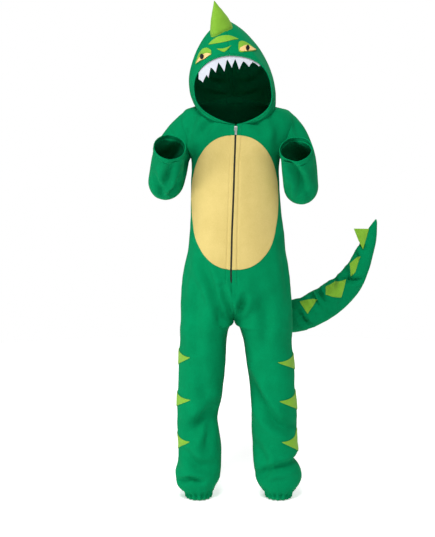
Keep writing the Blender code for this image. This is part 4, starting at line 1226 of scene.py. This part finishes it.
# The turned edges of panel and sleeve, inside the armhole seam
def addArmholeAllowance(side, word, outer, inner):
    hole, panelNormal, way = armholeFrame(side)
    panelHalf = np.stack([hole - way * step for step in (0, 3, 7)], axis=1)
    sleeveHalf = np.swapaxes(outer[[0, 3, 6]], 0, 1)
    sleeveNormals = np.swapaxes(unit(outer - inner)[[1, 3, 6]], 0, 1)
    near, far = (panelHalf, np.stack([panelNormal] * 3, axis=1)), (sleeveHalf, sleeveNormals)
    return addAllowance("armholeAllowance" + word, near, far, closed=True)


def addSleeves():
    runs = []
    for side, word in sides:
        outer, inner = sleeveGrid(side)
        piece = addShell("sleeve" + word, outer, inner, "green", [f"sleeve_{word.lower()}"], ring=True)
        turned = addArmholeAllowance(side, word, outer, inner)
        stitchRow = outer[sleeves["stitchRow"]]
        path = closedPath(stitchRow)
        normals = unit(path - stitchRow.mean(axis=0))
        runs.append((path + normals * 0.4, normals))
    addStitching("cuffStitching", runs, "greenThread")


print("sleeves")
addSleeves()


# Hood

hood = {
    # seam depth, seam height, widest half width, its depth, its height, from the face edge to the nape
    "arches": (
        (-108, 121, 90, -78, 42),
        (-106, 131, 92, -72, 43),
        (-99, 150, 95, -58, 45),
        (-82, 173, 99, -40, 48),
        (-56, 194, 101, -20, 50),
        (-24, 206, 101, 2, 50),
        (12, 208, 99, 24, 50),
        (48, 198, 94, 46, 52),
        (80, 176, 85, 64, 54),
        (101, 144, 72, 80, 54),
        (108, 104, 54, 90, 50),
        (96, 60, 32, 84, 42),
        (61, 22, 12, 60, 22),
    ),
    "split": 0.6,
    "lean": -0.10,
    # bulge of the face edge on each side, and of the hood behind it, sideways and upwards
    "facePeak": {-1: 1.1, 1: 0.84},
    "faceRise": {-1: 0.95, 1: 0.78},
    "crownPeak": 1.42,
    "crownRise": 1.08,
    "seamGap": 0.25,
    "seamGroove": 1.2,
    "neckGroove": 0.9,
    "hemShare": 0.036,
    "hemRise": 0.8,
    "hemGroove": 0.5,
    "hemRoll": 0.5,
    "stitchShare": 0.031,
    "cloth": 1.7,
    "flat": (0.262, 0.412),
    "area": 0.0560,
    "drape": ((1.0, 50, 7.7), (0.25, 18, 4.2)),
    "creases": (
        (-1, ((-89, 159), (-94, 118), (-90, 76)), 9, 1.8),
        (-1, ((60, 146), (80, 108), (90, 62)), 9, 2.0),
        (-1, ((34, 172), (52, 146), (64, 118)), 8, 1.4),
        (-1, ((-83, 14), (-66, -4), (-43, -14)), 6, 2.2),
        (-1, ((84, 20), (64, -1), (38, -14)), 6, 2.0),
        (1, ((-84, 122), (-60, 104), (-26, 100)), 9, 2.4),
        (1, ((66, 130), (44, 108), (14, 102)), 9, 2.2),
        (1, ((-76, 76), (-48, 60), (-16, 58)), 8, 2.8),
        (1, ((72, 80), (46, 62), (14, 56)), 8, 2.6),
        (1, ((-58, 40), (-34, 30), (-10, 32)), 6, 2.2),
        (1, ((58, 42), (36, 30), (12, 30)), 6, 2.2),
        (1, ((-62, 166), (-44, 150), (-30, 128)), 9, 1.6),
    ),
}
archAt = smoothTable([(index, *row) for index, row in enumerate(hood["arches"])])


def neckPoint(side, turn):
    place = formPoint(side, turn, neckHeight(turn)[..., 0])
    place[..., 2] += 2 * suit["seamTrim"]
    nearFront, nearBack = np.clip(1 - turn * 6, 0, 1), np.clip(1 - (2 - turn) * 6, 0, 1)
    place[..., 0] += side * (zip_["halfGap"] / 2 * nearFront + hood["seamGap"] * nearBack)
    return place


# across is 0 at the middle seam and 1 at the neckline; along runs from the face edge to the nape
def hoodPoint(side, across, along):
    across, along = np.broadcast_arrays(np.asarray(across, float), np.asarray(along, float))
    arches = len(hood["arches"])
    place = along * (arches - 1)
    seamY, seamZ, half, wideY, wideZ = np.moveaxis(archAt(place), -1, 0)
    lastTurn = 2 - 0.5 / suit["neckSteps"]
    neck = neckPoint(side, np.minimum(place / suit["neckSteps"], lastTurn))
    nape = neckPoint(side, 2 - across * 0.5 / suit["neckSteps"])
    napeShare = np.maximum(place - (arches - 2), 0)
    split = hood["split"]
    upAngle = np.clip(across / split, 0, 1) * math.pi / 2
    nearFace = bell(place, 2.4)
    peak = hood["crownPeak"] + (hood["facePeak"][side] - hood["crownPeak"]) * nearFace
    lift = hood["crownRise"] + (hood["faceRise"][side] - hood["crownRise"]) * nearFace
    rise = signedPower(np.cos(upAngle), lift)
    upX = half * signedPower(np.sin(upAngle), peak)
    upY = wideY + (seamY - wideY) * rise
    upZ = wideZ + (seamZ - wideZ) * rise
    share = np.clip((across - split) / (1 - split), 0, 1)
    stay = signedPower(np.cos(share * math.pi / 2), 0.75)
    drop = share**0.7
    neckX = (neck[..., 0] - hood["lean"] * neck[..., 2]) * side
    downX = neckX + (half - neckX) * stay
    downY = wideY + (neck[..., 1] - wideY) * drop
    downZ = wideZ + (neck[..., 2] - wideZ) * drop
    isUp = across <= split
    x, y, z = (np.where(isUp, up, low) for up, low in ((upX, downX), (upY, downY), (upZ, downZ)))
    point = np.stack([side * x + hood["lean"] * z, y, z], axis=-1)
    return point + (nape - point) * (napeShare**1.5)[..., None]


def hoodNormal(side, across, along):
    step = 0.008
    left, right = np.maximum(across - step, 0), np.minimum(across + step, 1)
    fore, aft = np.maximum(along - step, 0), np.minimum(along + step, 1)
    roundWay = hoodPoint(side, right, along) - hoodPoint(side, left, along)
    backWay = hoodPoint(side, across, aft) - hoodPoint(side, across, fore)
    return unit(np.cross(backWay, roundWay) * -side)


def hoodSurface(side, across, along, out=0.0):
    across, along = np.broadcast_arrays(np.asarray(across, float), np.asarray(along, float))
    points = hoodPoint(side, across, along)
    normals = hoodNormal(side, across, along)
    flatNormals = normals * np.array([0, 1, 1])
    onSeam = (across < 0.001)[..., None]
    normals = np.where(onSeam, unit(flatNormals), normals)
    relief = creaseRelief(points, normals, hood["creases"])
    relief += drape(points, hood["drape"], side)
    toSeam = np.abs(points[..., 0] - hood["lean"] * points[..., 2])
    relief -= hood["seamGroove"] * bell(toSeam, 2.2)
    toNeck = (1 - across) * 60
    relief -= hood["neckGroove"] * bell(toNeck, 2.5)
    relief *= np.clip(along * 14, 0.15, 1) * np.clip((1 - along) * 30, 0.1, 1)
    hem = np.clip((hood["hemShare"] - along) / 0.006 + 0.5, 0, 1)
    groove = bell(along - hood["hemShare"] - 0.004, 0.006)
    roll = np.clip(1 - along / 0.006, 0, 1)
    relief += hood["hemRise"] * hem - hood["hemGroove"] * groove - hood["hemRoll"] * roll
    return points + normals * (relief + out)[..., None], normals


def addHood():
    grids = []
    across = np.concatenate([[0.0, 0.008, 0.017, 0.028], np.linspace(0.045, 0.97, 52), [0.985, 1.0]])
    along = np.concatenate([np.linspace(0, 0.075, 16), np.linspace(0.085, 1, 74)])
    runs = []
    for side, word in sides:
        outer, normals = hoodSurface(side, across[None, :], along[:, None])
        grids.append(outer.copy())
        outer[:, 0, 0] += side * hood["seamGap"]
        inner = outer - normals * hood["cloth"]
        piece = addShell("hoodHalf" + word, outer, inner, "green", [f"hood_{word.lower()}"])
        turns = np.linspace(0.02, 1.998, 90)[:, None]
        steps = np.array([0.0, 0.03, 0.07])[None, :]
        near = hoodSurface(side, 1 - steps, turns / 2)
        far = suitSurface(side, turns, neckHeight(turns)[..., 0] - steps * 90)
        turned = [addAllowance("neckAllowance" + word, near, far)]
        if side > 0:
            alongSeam = np.linspace(0.055, 0.999, 90)[:, None]
            near, far = (hoodSurface(way, steps, alongSeam) for way in (1, -1))
            turned.append(addAllowance("crownAllowance", near, far))
            turned.append(addNeckTape())
        hood["piece" + word] = piece
        stitchLine = np.full(220, hood["stitchShare"])
        runs.append(hoodSurface(side, np.linspace(0.01, 0.99, 220), stitchLine, 0.1))
    addStitching("hoodHemStitching", runs, "greenThread")
    return grids


# A tape over the neck seam at the nape, as the inside of a garment has
neckTape = {"reach": 0.16, "half": 7.0, "clear": 1.6, "thick": 0.6}


def addNeckTape():
    turns = np.linspace(2 - neckTape["reach"], 2, 12)
    points, normals = [], []
    for side, way in ((-1, 1), (1, -1)):
        row = turns[::way]
        points.append(neckPoint(side, row))
        normals.append(formNormal(side, row, neckHeight(row)[..., 0]))
    points = np.concatenate([points[0][:-1], points[1][1:]])
    normals = unit(np.concatenate([normals[0][:-1], normals[1][1:]]) * np.array([1, 1, 0]))
    rises = np.linspace(-neckTape["half"], neckTape["half"], 7)[:, None, None] * np.array([0, 0, 1])
    outer = points + rises - normals * (hood["cloth"] + neckTape["clear"])
    inner = outer - normals * neckTape["thick"]
    return addShell("neckTape", outer, inner, "green")


print("hood")
hoodGrids = addHood()
hoodTree = treeOf(hoodGrids)


# Teeth: a felt strip behind the hood's edge, cut into points

teeth = {
    "tips": ((-74, 61), (-61, 71), (-44, 83), (-24, 85), (-7, 94), (10, 90), (33, 96), (57, 97)),
    "notches": (
        (-85, 68), (-66, 78), (-56, 95), (-38, 106), (-18, 113), (1, 114), (20, 109), (42, 107), (60, 101),
    ),
    "thick": 1.2,
    "hemThick": 2.0,
    "gap": 0.9,
    "inside": 0.03,
    "steps": 7,
    "bow": 1.2,
    "curl": 0.0018,
    "flat": (0.205, 0.040),
    "area": 0.0028,
}


# Place across the hood where its face edge shows at this x, above the cheeks
def faceEdgeAt(x):
    side = -1 if x < hoodPoint(1, 0.0, 0.0)[0] else 1
    low, high = 0.0, hood["split"]
    for _ in range(22):
        middle = (low + high) / 2
        if hoodPoint(side, middle, 0.0)[0] * side < x * side:
            low = middle
        else:
            high = middle
    return side, low


def addTeeth():
    corners = [point for pair in zip(teeth["notches"], teeth["tips"]) for point in pair]
    corners.append(teeth["notches"][-1])
    outline = []
    for (startX, startZ), (endX, endZ) in zip(corners, corners[1:]):
        for step in range(teeth["steps"]):
            share = step / teeth["steps"]
            bow = teeth["bow"] * math.sin(math.pi * share)
            outline.append((startX + (endX - startX) * share, startZ + (endZ - startZ) * share + bow))
    outline.append(corners[-1])
    rows = [[], [], [], [], []]
    ways = []
    away = teeth["hemThick"] + teeth["gap"]
    for x, z in outline:
        side, across = faceEdgeAt(x)
        normal = hoodNormal(side, np.float64(across), np.float64(teeth["inside"]))
        behind = -normal * away
        top = hoodPoint(side, across, teeth["inside"]) + behind
        edge = hoodPoint(side, across, 0.0)
        inward = unit(np.array([behind[0], behind[1], 0]))
        hem = edge + inward * away - np.array([0, 0, 1])
        tip = np.array([hem[0], hem[1], min(z, hem[2] - 1.5)])
        drop = hem[2] - tip[2]
        rows[0].append(top)
        rows[1].append(hem)
        for index, share in ((2, 0.4), (3, 0.75), (4, 1.0)):
            curl = -inward * teeth["curl"] * drop**2 * share**2
            rows[index].append(hem + (tip - hem) * share + curl)
        ways.append(inward)
    outer = np.array(rows)
    inner = outer + np.array(ways)[None, :, :] * teeth["thick"]
    piece = addShell("toothStrip", outer, inner, "white", ["teeth"])


print("teeth")
addTeeth()


# How far a felt piece's cut edge is rounded off
feltEdge = 0.45


# Flat pieces of the face: upper and lower edges as x and z, left to right

face = {
    "gap": 0.55,
    "thick": 1.1,
    "layerGap": 0.35,
    "levelling": 6,
    "stiffness": 0.6,
    "grid": (34, 11),
    "filledShare": 0.62,  # area of a cut piece over its width times its length
    "brow": (
        ((-60, 148), (-49, 159), (-35, 166), (-16, 168), (-4, 165), (8, 160)),
        ((-59, 147), (-44, 149), (-31, 151), (-17, 154), (-6, 157), (8, 159)),
    ),
    "nose": (((-41, 137), (-24, 138), (-8, 144)), ((-40, 136), (-24, 130), (-9, 143))),
    "lidLeft": (
        ((-90, 104), (-83, 125), (-75, 136), (-64, 140), (-54, 134)),
        ((-89, 103), (-80, 113), (-71, 118), (-63, 119), (-53, 124)),
    ),
    "ballLeft": (
        ((-87, 106), (-80, 117), (-70, 125), (-61, 127), (-54, 125)),
        ((-86, 105), (-78, 110), (-68, 114), (-60, 120), (-54, 124)),
    ),
    "pupilLeft": (-73, 119, 4.0, 6.2),
    "lidRight": (
        ((8, 138), (9, 152), (18, 155), (30, 150), (41, 142), (50, 136)),
        ((9, 131), (15, 129), (23, 130), (33, 131), (42, 132), (49, 135)),
    ),
    "ballRight": (
        ((11, 138), (17, 142), (24, 145), (32, 144), (40, 140), (47, 136)),
        ((10, 133), (16, 131), (24, 131), (33, 132), (41, 133), (47, 135)),
    ),
    "pupilRight": (28, 138, 4.0, 6.2),
    "flats": {
        "brow": (0.072, 0.016), "nose": (0.036, 0.010), "lid": (0.060, 0.026), "ball": (0.050, 0.014),
        "pupil": (0.0135, 0.0195),
    },
}


def patchGrid(upper, lower, tree, columns, rows, edgeDepth):
    top, bottom = smoothPath(upper, columns), smoothPath(lower, columns)
    grid = top[None] + (bottom - top)[None] * np.linspace(0, 1, rows)[:, None, None]
    places = np.zeros((rows, columns, 3))
    for row in range(rows):
        for column in range(columns):
            x, z = grid[row, column]
            place = tree.ray_cast(Vector((x, -600, z)), Vector((0, 1, 0)))[0]
            if place is None:
                place = tree.find_nearest(Vector((x, edgeDepth, z)))[0]
            places[row, column] = place
    # Felt is stiffer than the cloth below it, so it bridges the finest creases
    for _ in range(face["levelling"]):
        depth = np.pad(places[..., 1], 1, mode="edge")
        level = (depth[:-2, 1:-1] + depth[2:, 1:-1] + depth[1:-1, :-2] + depth[1:-1, 2:]) / 4
        places[..., 1] = np.minimum(places[..., 1], places[..., 1] * 0.5 + level * 0.5)
    normals = gridNormals(places)
    normals *= np.where(normals[..., 1] > 0, -1, 1)[..., None]
    return places, unit(normals + normals.mean(axis=(0, 1)) * face["stiffness"])


def addPatch(name, edges, tree, material, node, lift=0.0, edgeDepth=-60):
    places, normals = patchGrid(*edges, tree, *face["grid"], edgeDepth)
    rows, columns = places.shape[:2]
    toEdge = np.minimum(np.minimum(np.arange(rows), np.arange(rows)[::-1])[:, None], 2) / 2
    rounding = feltEdge * (1 - toEdge) ** 2 * np.ones((1, columns))
    low = face["gap"] + lift
    outer = places + normals * (low + face["thick"] - rounding)[..., None]
    inner = places + normals * low
    piece = addShell(name, outer, inner, material, [node])

    def borderOf(grid):
        return np.concatenate([grid[1, 1:-1], grid[1:-1, -2], grid[-2, -2:0:-1], grid[-2:0:-1, 1]])

    return piece, (borderOf(outer), borderOf(normals))


def addFace():
    runs = []
    for name, node, key in (("browSpot", "brow_spot", "brow"), ("noseSpot", "nose_spot", "nose")):
        _, run = addPatch(name, face[key], hoodTree, "lime", node)
        runs.append(run)
    step = face["thick"] + face["layerGap"]
    for _, word in sides:
        lower = word.lower()
        edges = face["lid" + word]
        lid, run = addPatch("eyelid" + word, edges, hoodTree, "lime", "eyelid_" + lower)
        runs.append(run)
        ball, _ = addPatch(
            "eyeball" + word, face["ball" + word], hoodTree, "cream",
            "eyeball_" + lower, lift=step,
        )
        x, z, halfX, halfZ = face["pupil" + word]
        ring = [math.pi * i / 8 for i in range(9)]
        edges = [
            [(x - halfX * math.cos(a), z + way * halfZ * (math.sin(a) + 0.06)) for a in ring]
            for way in (1, -1)
        ]
        addPatch(
            "pupil" + word, edges, hoodTree, "black",
            "pupil_" + lower, lift=2 * step,
        )
    addStitching("faceStitching", runs, "limeThread")


print("face")
addFace()


# Horn: a stuffed felt cone sewn to the top of the hood

horn = {
    "base": (-30, -58),
    "half": (25.5, 20),
    "tip": (-47, -97, 245),
    "seat": 0.6,
    "tuck": 1.2,
    "seam": 0.9,
    "dimple": 0.9,
    "fullness": 1.3,
    "columns": 48,
    "rows": 34,
    # share of the way to the tip, share of the base width there
    "steps": (
        (0.0, 1.0), (0.06, 0.985), (0.14, 0.93), (0.32, 0.76), (0.52, 0.55),
        (0.72, 0.33), (0.88, 0.17), (0.96, 0.085), (1.0, 0.03),
    ),
}


def addHorn():
    x, y = horn["base"]
    angles = ringAngles(horn["columns"])

    def onHood(share):
        ring = []
        for angle in angles:
            offX, offY = horn["half"][0] * math.cos(angle), horn["half"][1] * math.sin(angle)
            start = (x + offX * share, y + offY * share, 400)
            ring.append(dropOn(hoodTree, start, (0, 0, -1)) + np.array([0, 0, horn["seat"]]))
        return np.array(ring)

    base = onHood(1.0)
    middle = base.mean(axis=0)
    tip = np.array(horn["tip"], float)
    widthAt = smoothTable(horn["steps"])
    rings = [onHood(0.3), onHood(0.65), onHood(0.93)]
    for share in np.linspace(0, 1, horn["rows"]):
        rings.append(middle + (tip - middle) * share + (base - middle) * widthAt(share)[0])
    rings = np.array(rings)
    normals = ringNormals(rings)
    rowShare = np.clip((np.arange(len(rings)) - 3) / horn["rows"], 0, 1)[:, None]
    tuck = -horn["tuck"] * bell(rowShare, 0.035) * (rowShare > 0)
    seam = -horn["seam"] * bell(angles[None, :] - 1.9, 0.09) * (1 - rowShare)
    dimples = horn["dimple"] * softNoise(rings, 17, 1.4) * np.sin(math.pi * np.clip(rowShare, 0, 1)) ** 0.7
    fullness = horn["fullness"] * np.sin(math.pi * np.clip(rowShare * 1.15, 0, 1))
    rise = (tuck + seam + dimples + fullness) * (rowShare > 0)
    rings = rings + normals * rise[..., None]
    piece = addPiece("stuffedHorn", tubeMesh("horn", rings), "lime", ["horn"])


print("horn")
addHorn()


# Leg spots: felt points over the side seams, each with a front and a back half

legSpots = {
    "gap": 0.6,
    "thick": 1.1,
    # height of the point, half height at the seam, reach in turns
    -1: ((-594, 19.5, 0.34), (-697, 19.5, 0.38), (-800, 21.5, 0.38)),
    1: ((-605, 20.5, 0.41), (-700, 25, 0.43), (-800, 29, 0.43)),
    "pointLift": 9,
    "upperCurve": 1.35,
    "lowerCurve": 0.85,
    "edge": 0.7,
    "seamOff": 0.003,  # in turns
    "stitchInset": 1.8,
    "stitchEnd": 0.86,
}


def addLegSpots():
    runs = []
    for side, sideWord in sides:
        for index, (height, half, reach) in enumerate(legSpots[side]):
            for way, faceWord in ((-1, "Front"), (1, "Back")):
                shares = np.linspace(0, 1, 26)
                middle = height + legSpots["pointLift"] * shares
                upper = middle + half * (1 - shares) ** legSpots["upperCurve"] + legSpots["edge"]
                lower = middle - half * (1 - shares) ** legSpots["lowerCurve"] - legSpots["edge"]
                levels = np.linspace(0, 1, 15)[:, None]
                heights = upper + (lower - upper) * levels
                off = legSpots["seamOff"]
                turns = 1 + way * (off + (reach - off) * shares) + 0 * heights
                points, normals = suitSurface(side, turns, heights)
                rowEdge = np.minimum(levels, 1 - levels) * (upper - lower)
                rounding = feltEdge * np.exp(-rowEdge / 0.8)
                low = legSpots["gap"]
                outer = points + normals * (low + legSpots["thick"] - rounding)[..., None]
                inner = points + normals * low
                name = f"legSpot{sideWord}{index + 1}{faceWord}"
                node = f"leg_spot_{sideWord.lower()}_{index + 1}_{faceWord.lower()}"
                piece = addShell(name, outer, inner, "lime", [node])
                keep = shares < legSpots["stitchEnd"]
                inset, rise = legSpots["stitchInset"], low + legSpots["thick"] - 0.05
                for heightLine in (upper - inset, lower + inset):
                    runs.append(suitSurface(side, turns[0][keep], heightLine[keep], rise))
    addStitching("legSpotStitching", runs, "limeThread")


print("leg spots")
addLegSpots()


# Tail: a stuffed tube that leaves the back seam and curls up on the right

tail = {
    # centre line and half width
    "line": (
        (-4, 104, -405, 42),
        (4, 152, -430, 42),
        (34, 176, -470, 42),
        (82, 172, -505, 41),
        (130, 156, -519, 41),
        (172, 140, -511, 41),
        (212, 134, -492, 41),
        (250, 131, -466, 40),
        (286, 130, -433, 34),
        (309, 130, -397, 28.5),
        (325, 130, -360, 23.5),
        (337, 130, -328, 17.5),
        (346, 130, -300, 11.5),
        (352, 130, -282, 6),
        (354, 130, -272, 1.5),
    ),
    "depth": 0.84,
    "seat": 0.7,
    "seam": 1.0,
    "drape": ((1.3, 36, 8.8), (0.4, 14, 6.1)),
    "columns": 64,
    "stepsPerKnot": 8,
    "creases": (
        (-1, ((160, -500), (172, -520), (190, -540)), 5, 5.4),
        (-1, ((270, -414), (292, -420), (318, -420)), 4.5, 5.4),
        (-1, ((184, -446), (200, -468), (214, -490)), 5, 4.6),
        (-1, ((198, -432), (212, -452), (224, -476)), 5, 5.6),
        (-1, ((224, -424), (232, -438), (232, -456)), 5, 3.0),
        (-1, ((244, -404), (249, -424), (244, -445)), 6, 4.4),
        (-1, ((272, -392), (281, -406), (281, -425)), 6, 4.0),
        (-1, ((290, -350), (302, -360), (308, -375)), 5, 3.6),
        (-1, ((307, -324), (318, -333), (327, -346)), 4.5, 2.6),
        (-1, ((210, -515), (227, -500), (234, -480)), 8, 2.0),
        (-1, ((259, -490), (272, -473), (276, -453)), 8, 2.0),
        (1, ((170, -460), (180, -480), (190, -500)), 7, 3.6),
        (1, ((214, -444), (222, -466), (222, -484)), 6, 3.8),
        (1, ((252, -410), (256, -432), (250, -452)), 6, 3.6),
        (1, ((284, -376), (296, -392), (300, -408)), 5, 3.0),
        (1, ((304, -334), (316, -344), (326, -356)), 4.5, 2.4),
        (1, ((60, -462), (72, -492), (66, -520)), 8, 2.8),
        (1, ((106, -480), (120, -508), (118, -536)), 8, 2.6),
    ),
}
tailAt = smoothTable([(index, *row) for index, row in enumerate(tail["line"])])


def tailRings():
    last = len(tail["line"]) - 1
    steps = np.linspace(1, last, (last - 1) * tail["stepsPerKnot"] + 1)
    centres, halves = tailAt(steps)[:, :3], tailAt(steps)[:, 3]
    ways = unit(np.gradient(centres, axis=0))
    angles = ringAngles(tail["columns"])
    side = np.array([1.0, 0, 0])
    rings = []
    for centre, half, way, step in zip(centres, halves, ways, steps):
        side = unit(side - way * (side @ way))
        other = unit(np.cross(side, way))
        circle = side * np.cos(angles)[:, None] + other * np.sin(angles)[:, None]
        depthWay = np.array([0, 1.0, 0]) - way * way[1]
        if np.linalg.norm(depthWay) < 0.5:
            depthWay = np.array([0, 0, 1.0]) - way * way[2]
        depthWay = unit(depthWay)
        share = step / last
        flat = tail["depth"] + (1 - tail["depth"]) * max(0.0, 1 - share * 4)
        inDepth = (circle @ depthWay)[:, None] * depthWay
        rings.append(centre + half * (circle + (flat - 1) * inDepth))
    return np.array(rings)


def addTail():
    seatTree = treeOf([panels["backLeft"][1], panels["backRight"][1]])
    baseX, _, baseZ, half = tail["line"][0]
    columns = tail["columns"]
    angles = ringAngles(columns)
    rings = tailRings()

    def onSeat(share):
        ring = []
        for angle in angles:
            x, z = baseX + half * share * math.cos(angle), baseZ - half * share * math.sin(angle)
            ring.append(dropOn(seatTree, (x, 600, z), (0, -1, 0)) + np.array([0, tail["seat"], 0]))
        return np.array(ring)

    seat = onSeat(1.0)
    # The tube's rings start at the angle, and turn the way, that follows the seat most closely
    misses = [
        ((np.roll(ring, -first, axis=0) - seat) ** 2).sum()
        for ring in (rings[0], rings[0, ::-1]) for first in range(columns)
    ]
    best = int(np.argmin(misses))
    rings = np.roll(rings if best < columns else rings[:, ::-1], -(best % columns), axis=1)
    neck = [seat + (rings[0] - seat) * share for share in np.linspace(0, 1, 10)[:-1]]
    start = len(neck) + 3
    rings = np.concatenate([[onSeat(0.35), onSeat(0.7), onSeat(0.95)], neck, rings])
    normals = ringNormals(rings)
    normals[:3] = np.array([0, 1.0, 0])
    relief = creaseRelief(rings, normals, tail["creases"]) + drape(rings, tail["drape"])
    rows = np.arange(len(rings))
    hold = np.clip((rows - 3) / 6, 0, 1) * np.clip((len(rings) - 1 - rows) / 8, 0, 1)
    outer = rings + normals * (relief * hold[:, None])[..., None]
    # Seams along the upper and lower edges, where the two halves of the tail are sewn
    edgeWay = np.abs(normals[..., 1])
    seam = -tail["seam"] * bell(edgeWay, 0.09) * np.clip((rows - start - 14) / 6, 0, 1)[:, None]
    outer += normals * (seam * hold[:, None])[..., None]
    piece = addPiece("stuffedTail", tubeMesh("tail", outer), "green", ["tail"])
    return piece, outer[start:]


print("tail")
tailPiece, tailGrid = addTail()
tailTree = treeOf([tailGrid], ring=True)


# Felt spikes on the tail: three lie on it, the last stands off its edge

tailSpikes = {
    "laid": (
        (((165, -477), (186, -470), (209, -470)), ((166, -479), (184, -505), (207, -472))),
        (((229, -440), (254, -426), (279, -420)), ((228, -457), (246, -462), (267, -464))),
        (((289, -381), (301, -370), (315, -362)), ((291, -411), (301, -402), (314, -366))),
    ),
    "lifts": (0.5, 0.5, 0.1),
    "flats": ((0.046, 0.034), (0.058, 0.046), (0.036, 0.034)),
    # root, tip, edge and foot of the last spike: x, y, z
    "last": ((336, 122.0, -295), (298, 117, -294), (309, 113, -322), (321, 112.0, -345)),
    "lastThick": 1.6,
    "lastCurl": 2.5,
    "lastFlat": (0.040, 0.054),
    "lastArea": 0.00105,
}


def straightEdges(points, perSide=6):
    corners = np.array(points, float)
    parts = [corners[i] + (corners[i + 1] - corners[i]) * t for i in range(len(corners) - 1)
             for t in np.linspace(0, 1, perSide, endpoint=False)]
    return parts + [corners[-1]]


def addTailSpikes():
    runs = []
    for index, ((upper, lower), lift) in enumerate(zip(tailSpikes["laid"], tailSpikes["lifts"])):
        edges = (straightEdges(upper), straightEdges(lower))
        _, run = addPatch(
            f"tailSpike{index + 1}", edges, tailTree, "lime", f"tail_spike_{index + 1}",
            lift=lift, edgeDepth=120,
        )
        runs.append(run)
    root, tip, edge, foot = (np.array(corner, float) for corner in tailSpikes["last"])
    down, across = np.linspace(0, 1, 12)[:, None, None], np.linspace(0, 1, 14)[None, :, None]
    front = (root + (tip - root) * across) * (1 - down) + (foot + (edge - foot) * across) * down
    curl = tailSpikes["lastCurl"] * np.sin(math.pi * across[..., 0]) * np.sin(math.pi * down[..., 0])
    front = front - np.array([0, 1.0, 0]) * curl[..., None]
    back = front + np.array([0, tailSpikes["lastThick"], 0])
    piece = addShell("tailSpike4", front, back, "lime", ["tail_spike_4"])
    addStitching("tailSpikeStitching", runs, "limeThread")


print("tail spikes")
addTailSpikes()


# Ankle casings: a tube of cloth gathered on elastic

ankles = {
    "columns": 272,
    "depth": 2.2,
    "cloth": 1.6,
    # drop below the ankle seam, share of the gathers' depth, bulge
    "rows": (
        (0.15, 0.30, 0.0), (2.0, 0.55, 0.5), (5.0, 0.85, 1.1), (8.0, 1.0, 1.2), (11.0, 1.0, 1.1),
        (14.0, 0.95, 0.9), (16.5, 0.9, 0.5), (18.6, 0.85, 0.3), (20.0, 0.8, -0.3),
    ),
    "stitchRow": 18,
    "flat": (0.300, 0.024),
    "area": 0.0066,
}


def addAnkles():
    runs = []
    for side, word in sides:
        turns = 2 * np.arange(ankles["columns"]) / ankles["columns"]
        dropAt = smoothTable(ankles["rows"])
        drops = np.concatenate([[0.15, 0.8, 1.6], np.linspace(2.6, 20, 20)])
        outer, inner = [], []
        for drop in drops:
            share, bulge = dropAt(drop)
            height = suit["ankle"] - drop
            points = formPoint(side, turns, height)
            normals = unit(formNormal(side, turns, height) * np.array([1, 1, 0]))
            wave = ankles["depth"] * share * (gatherWave(turns) - 1) + bulge * 0.5
            wave = np.minimum(wave, 0.5)
            outer.append(points + normals * wave[:, None])
            inner.append(points + normals * (wave - ankles["cloth"])[:, None])
        outer, inner = np.array(outer), np.array(inner)
        node = f"ankle_casing_{word.lower()}"
        piece = addShell("ankleCasing" + word, outer, inner, "green", [node], ring=True)
        path = closedPath(outer[ankles["stitchRow"]])
        around = unit((path - path.mean(axis=0)) * np.array([1, 1, 0]))
        runs.append((path + around * 0.1, around))
    addStitching("ankleStitching", runs, "greenThread")


print("ankles")
addAnkles()
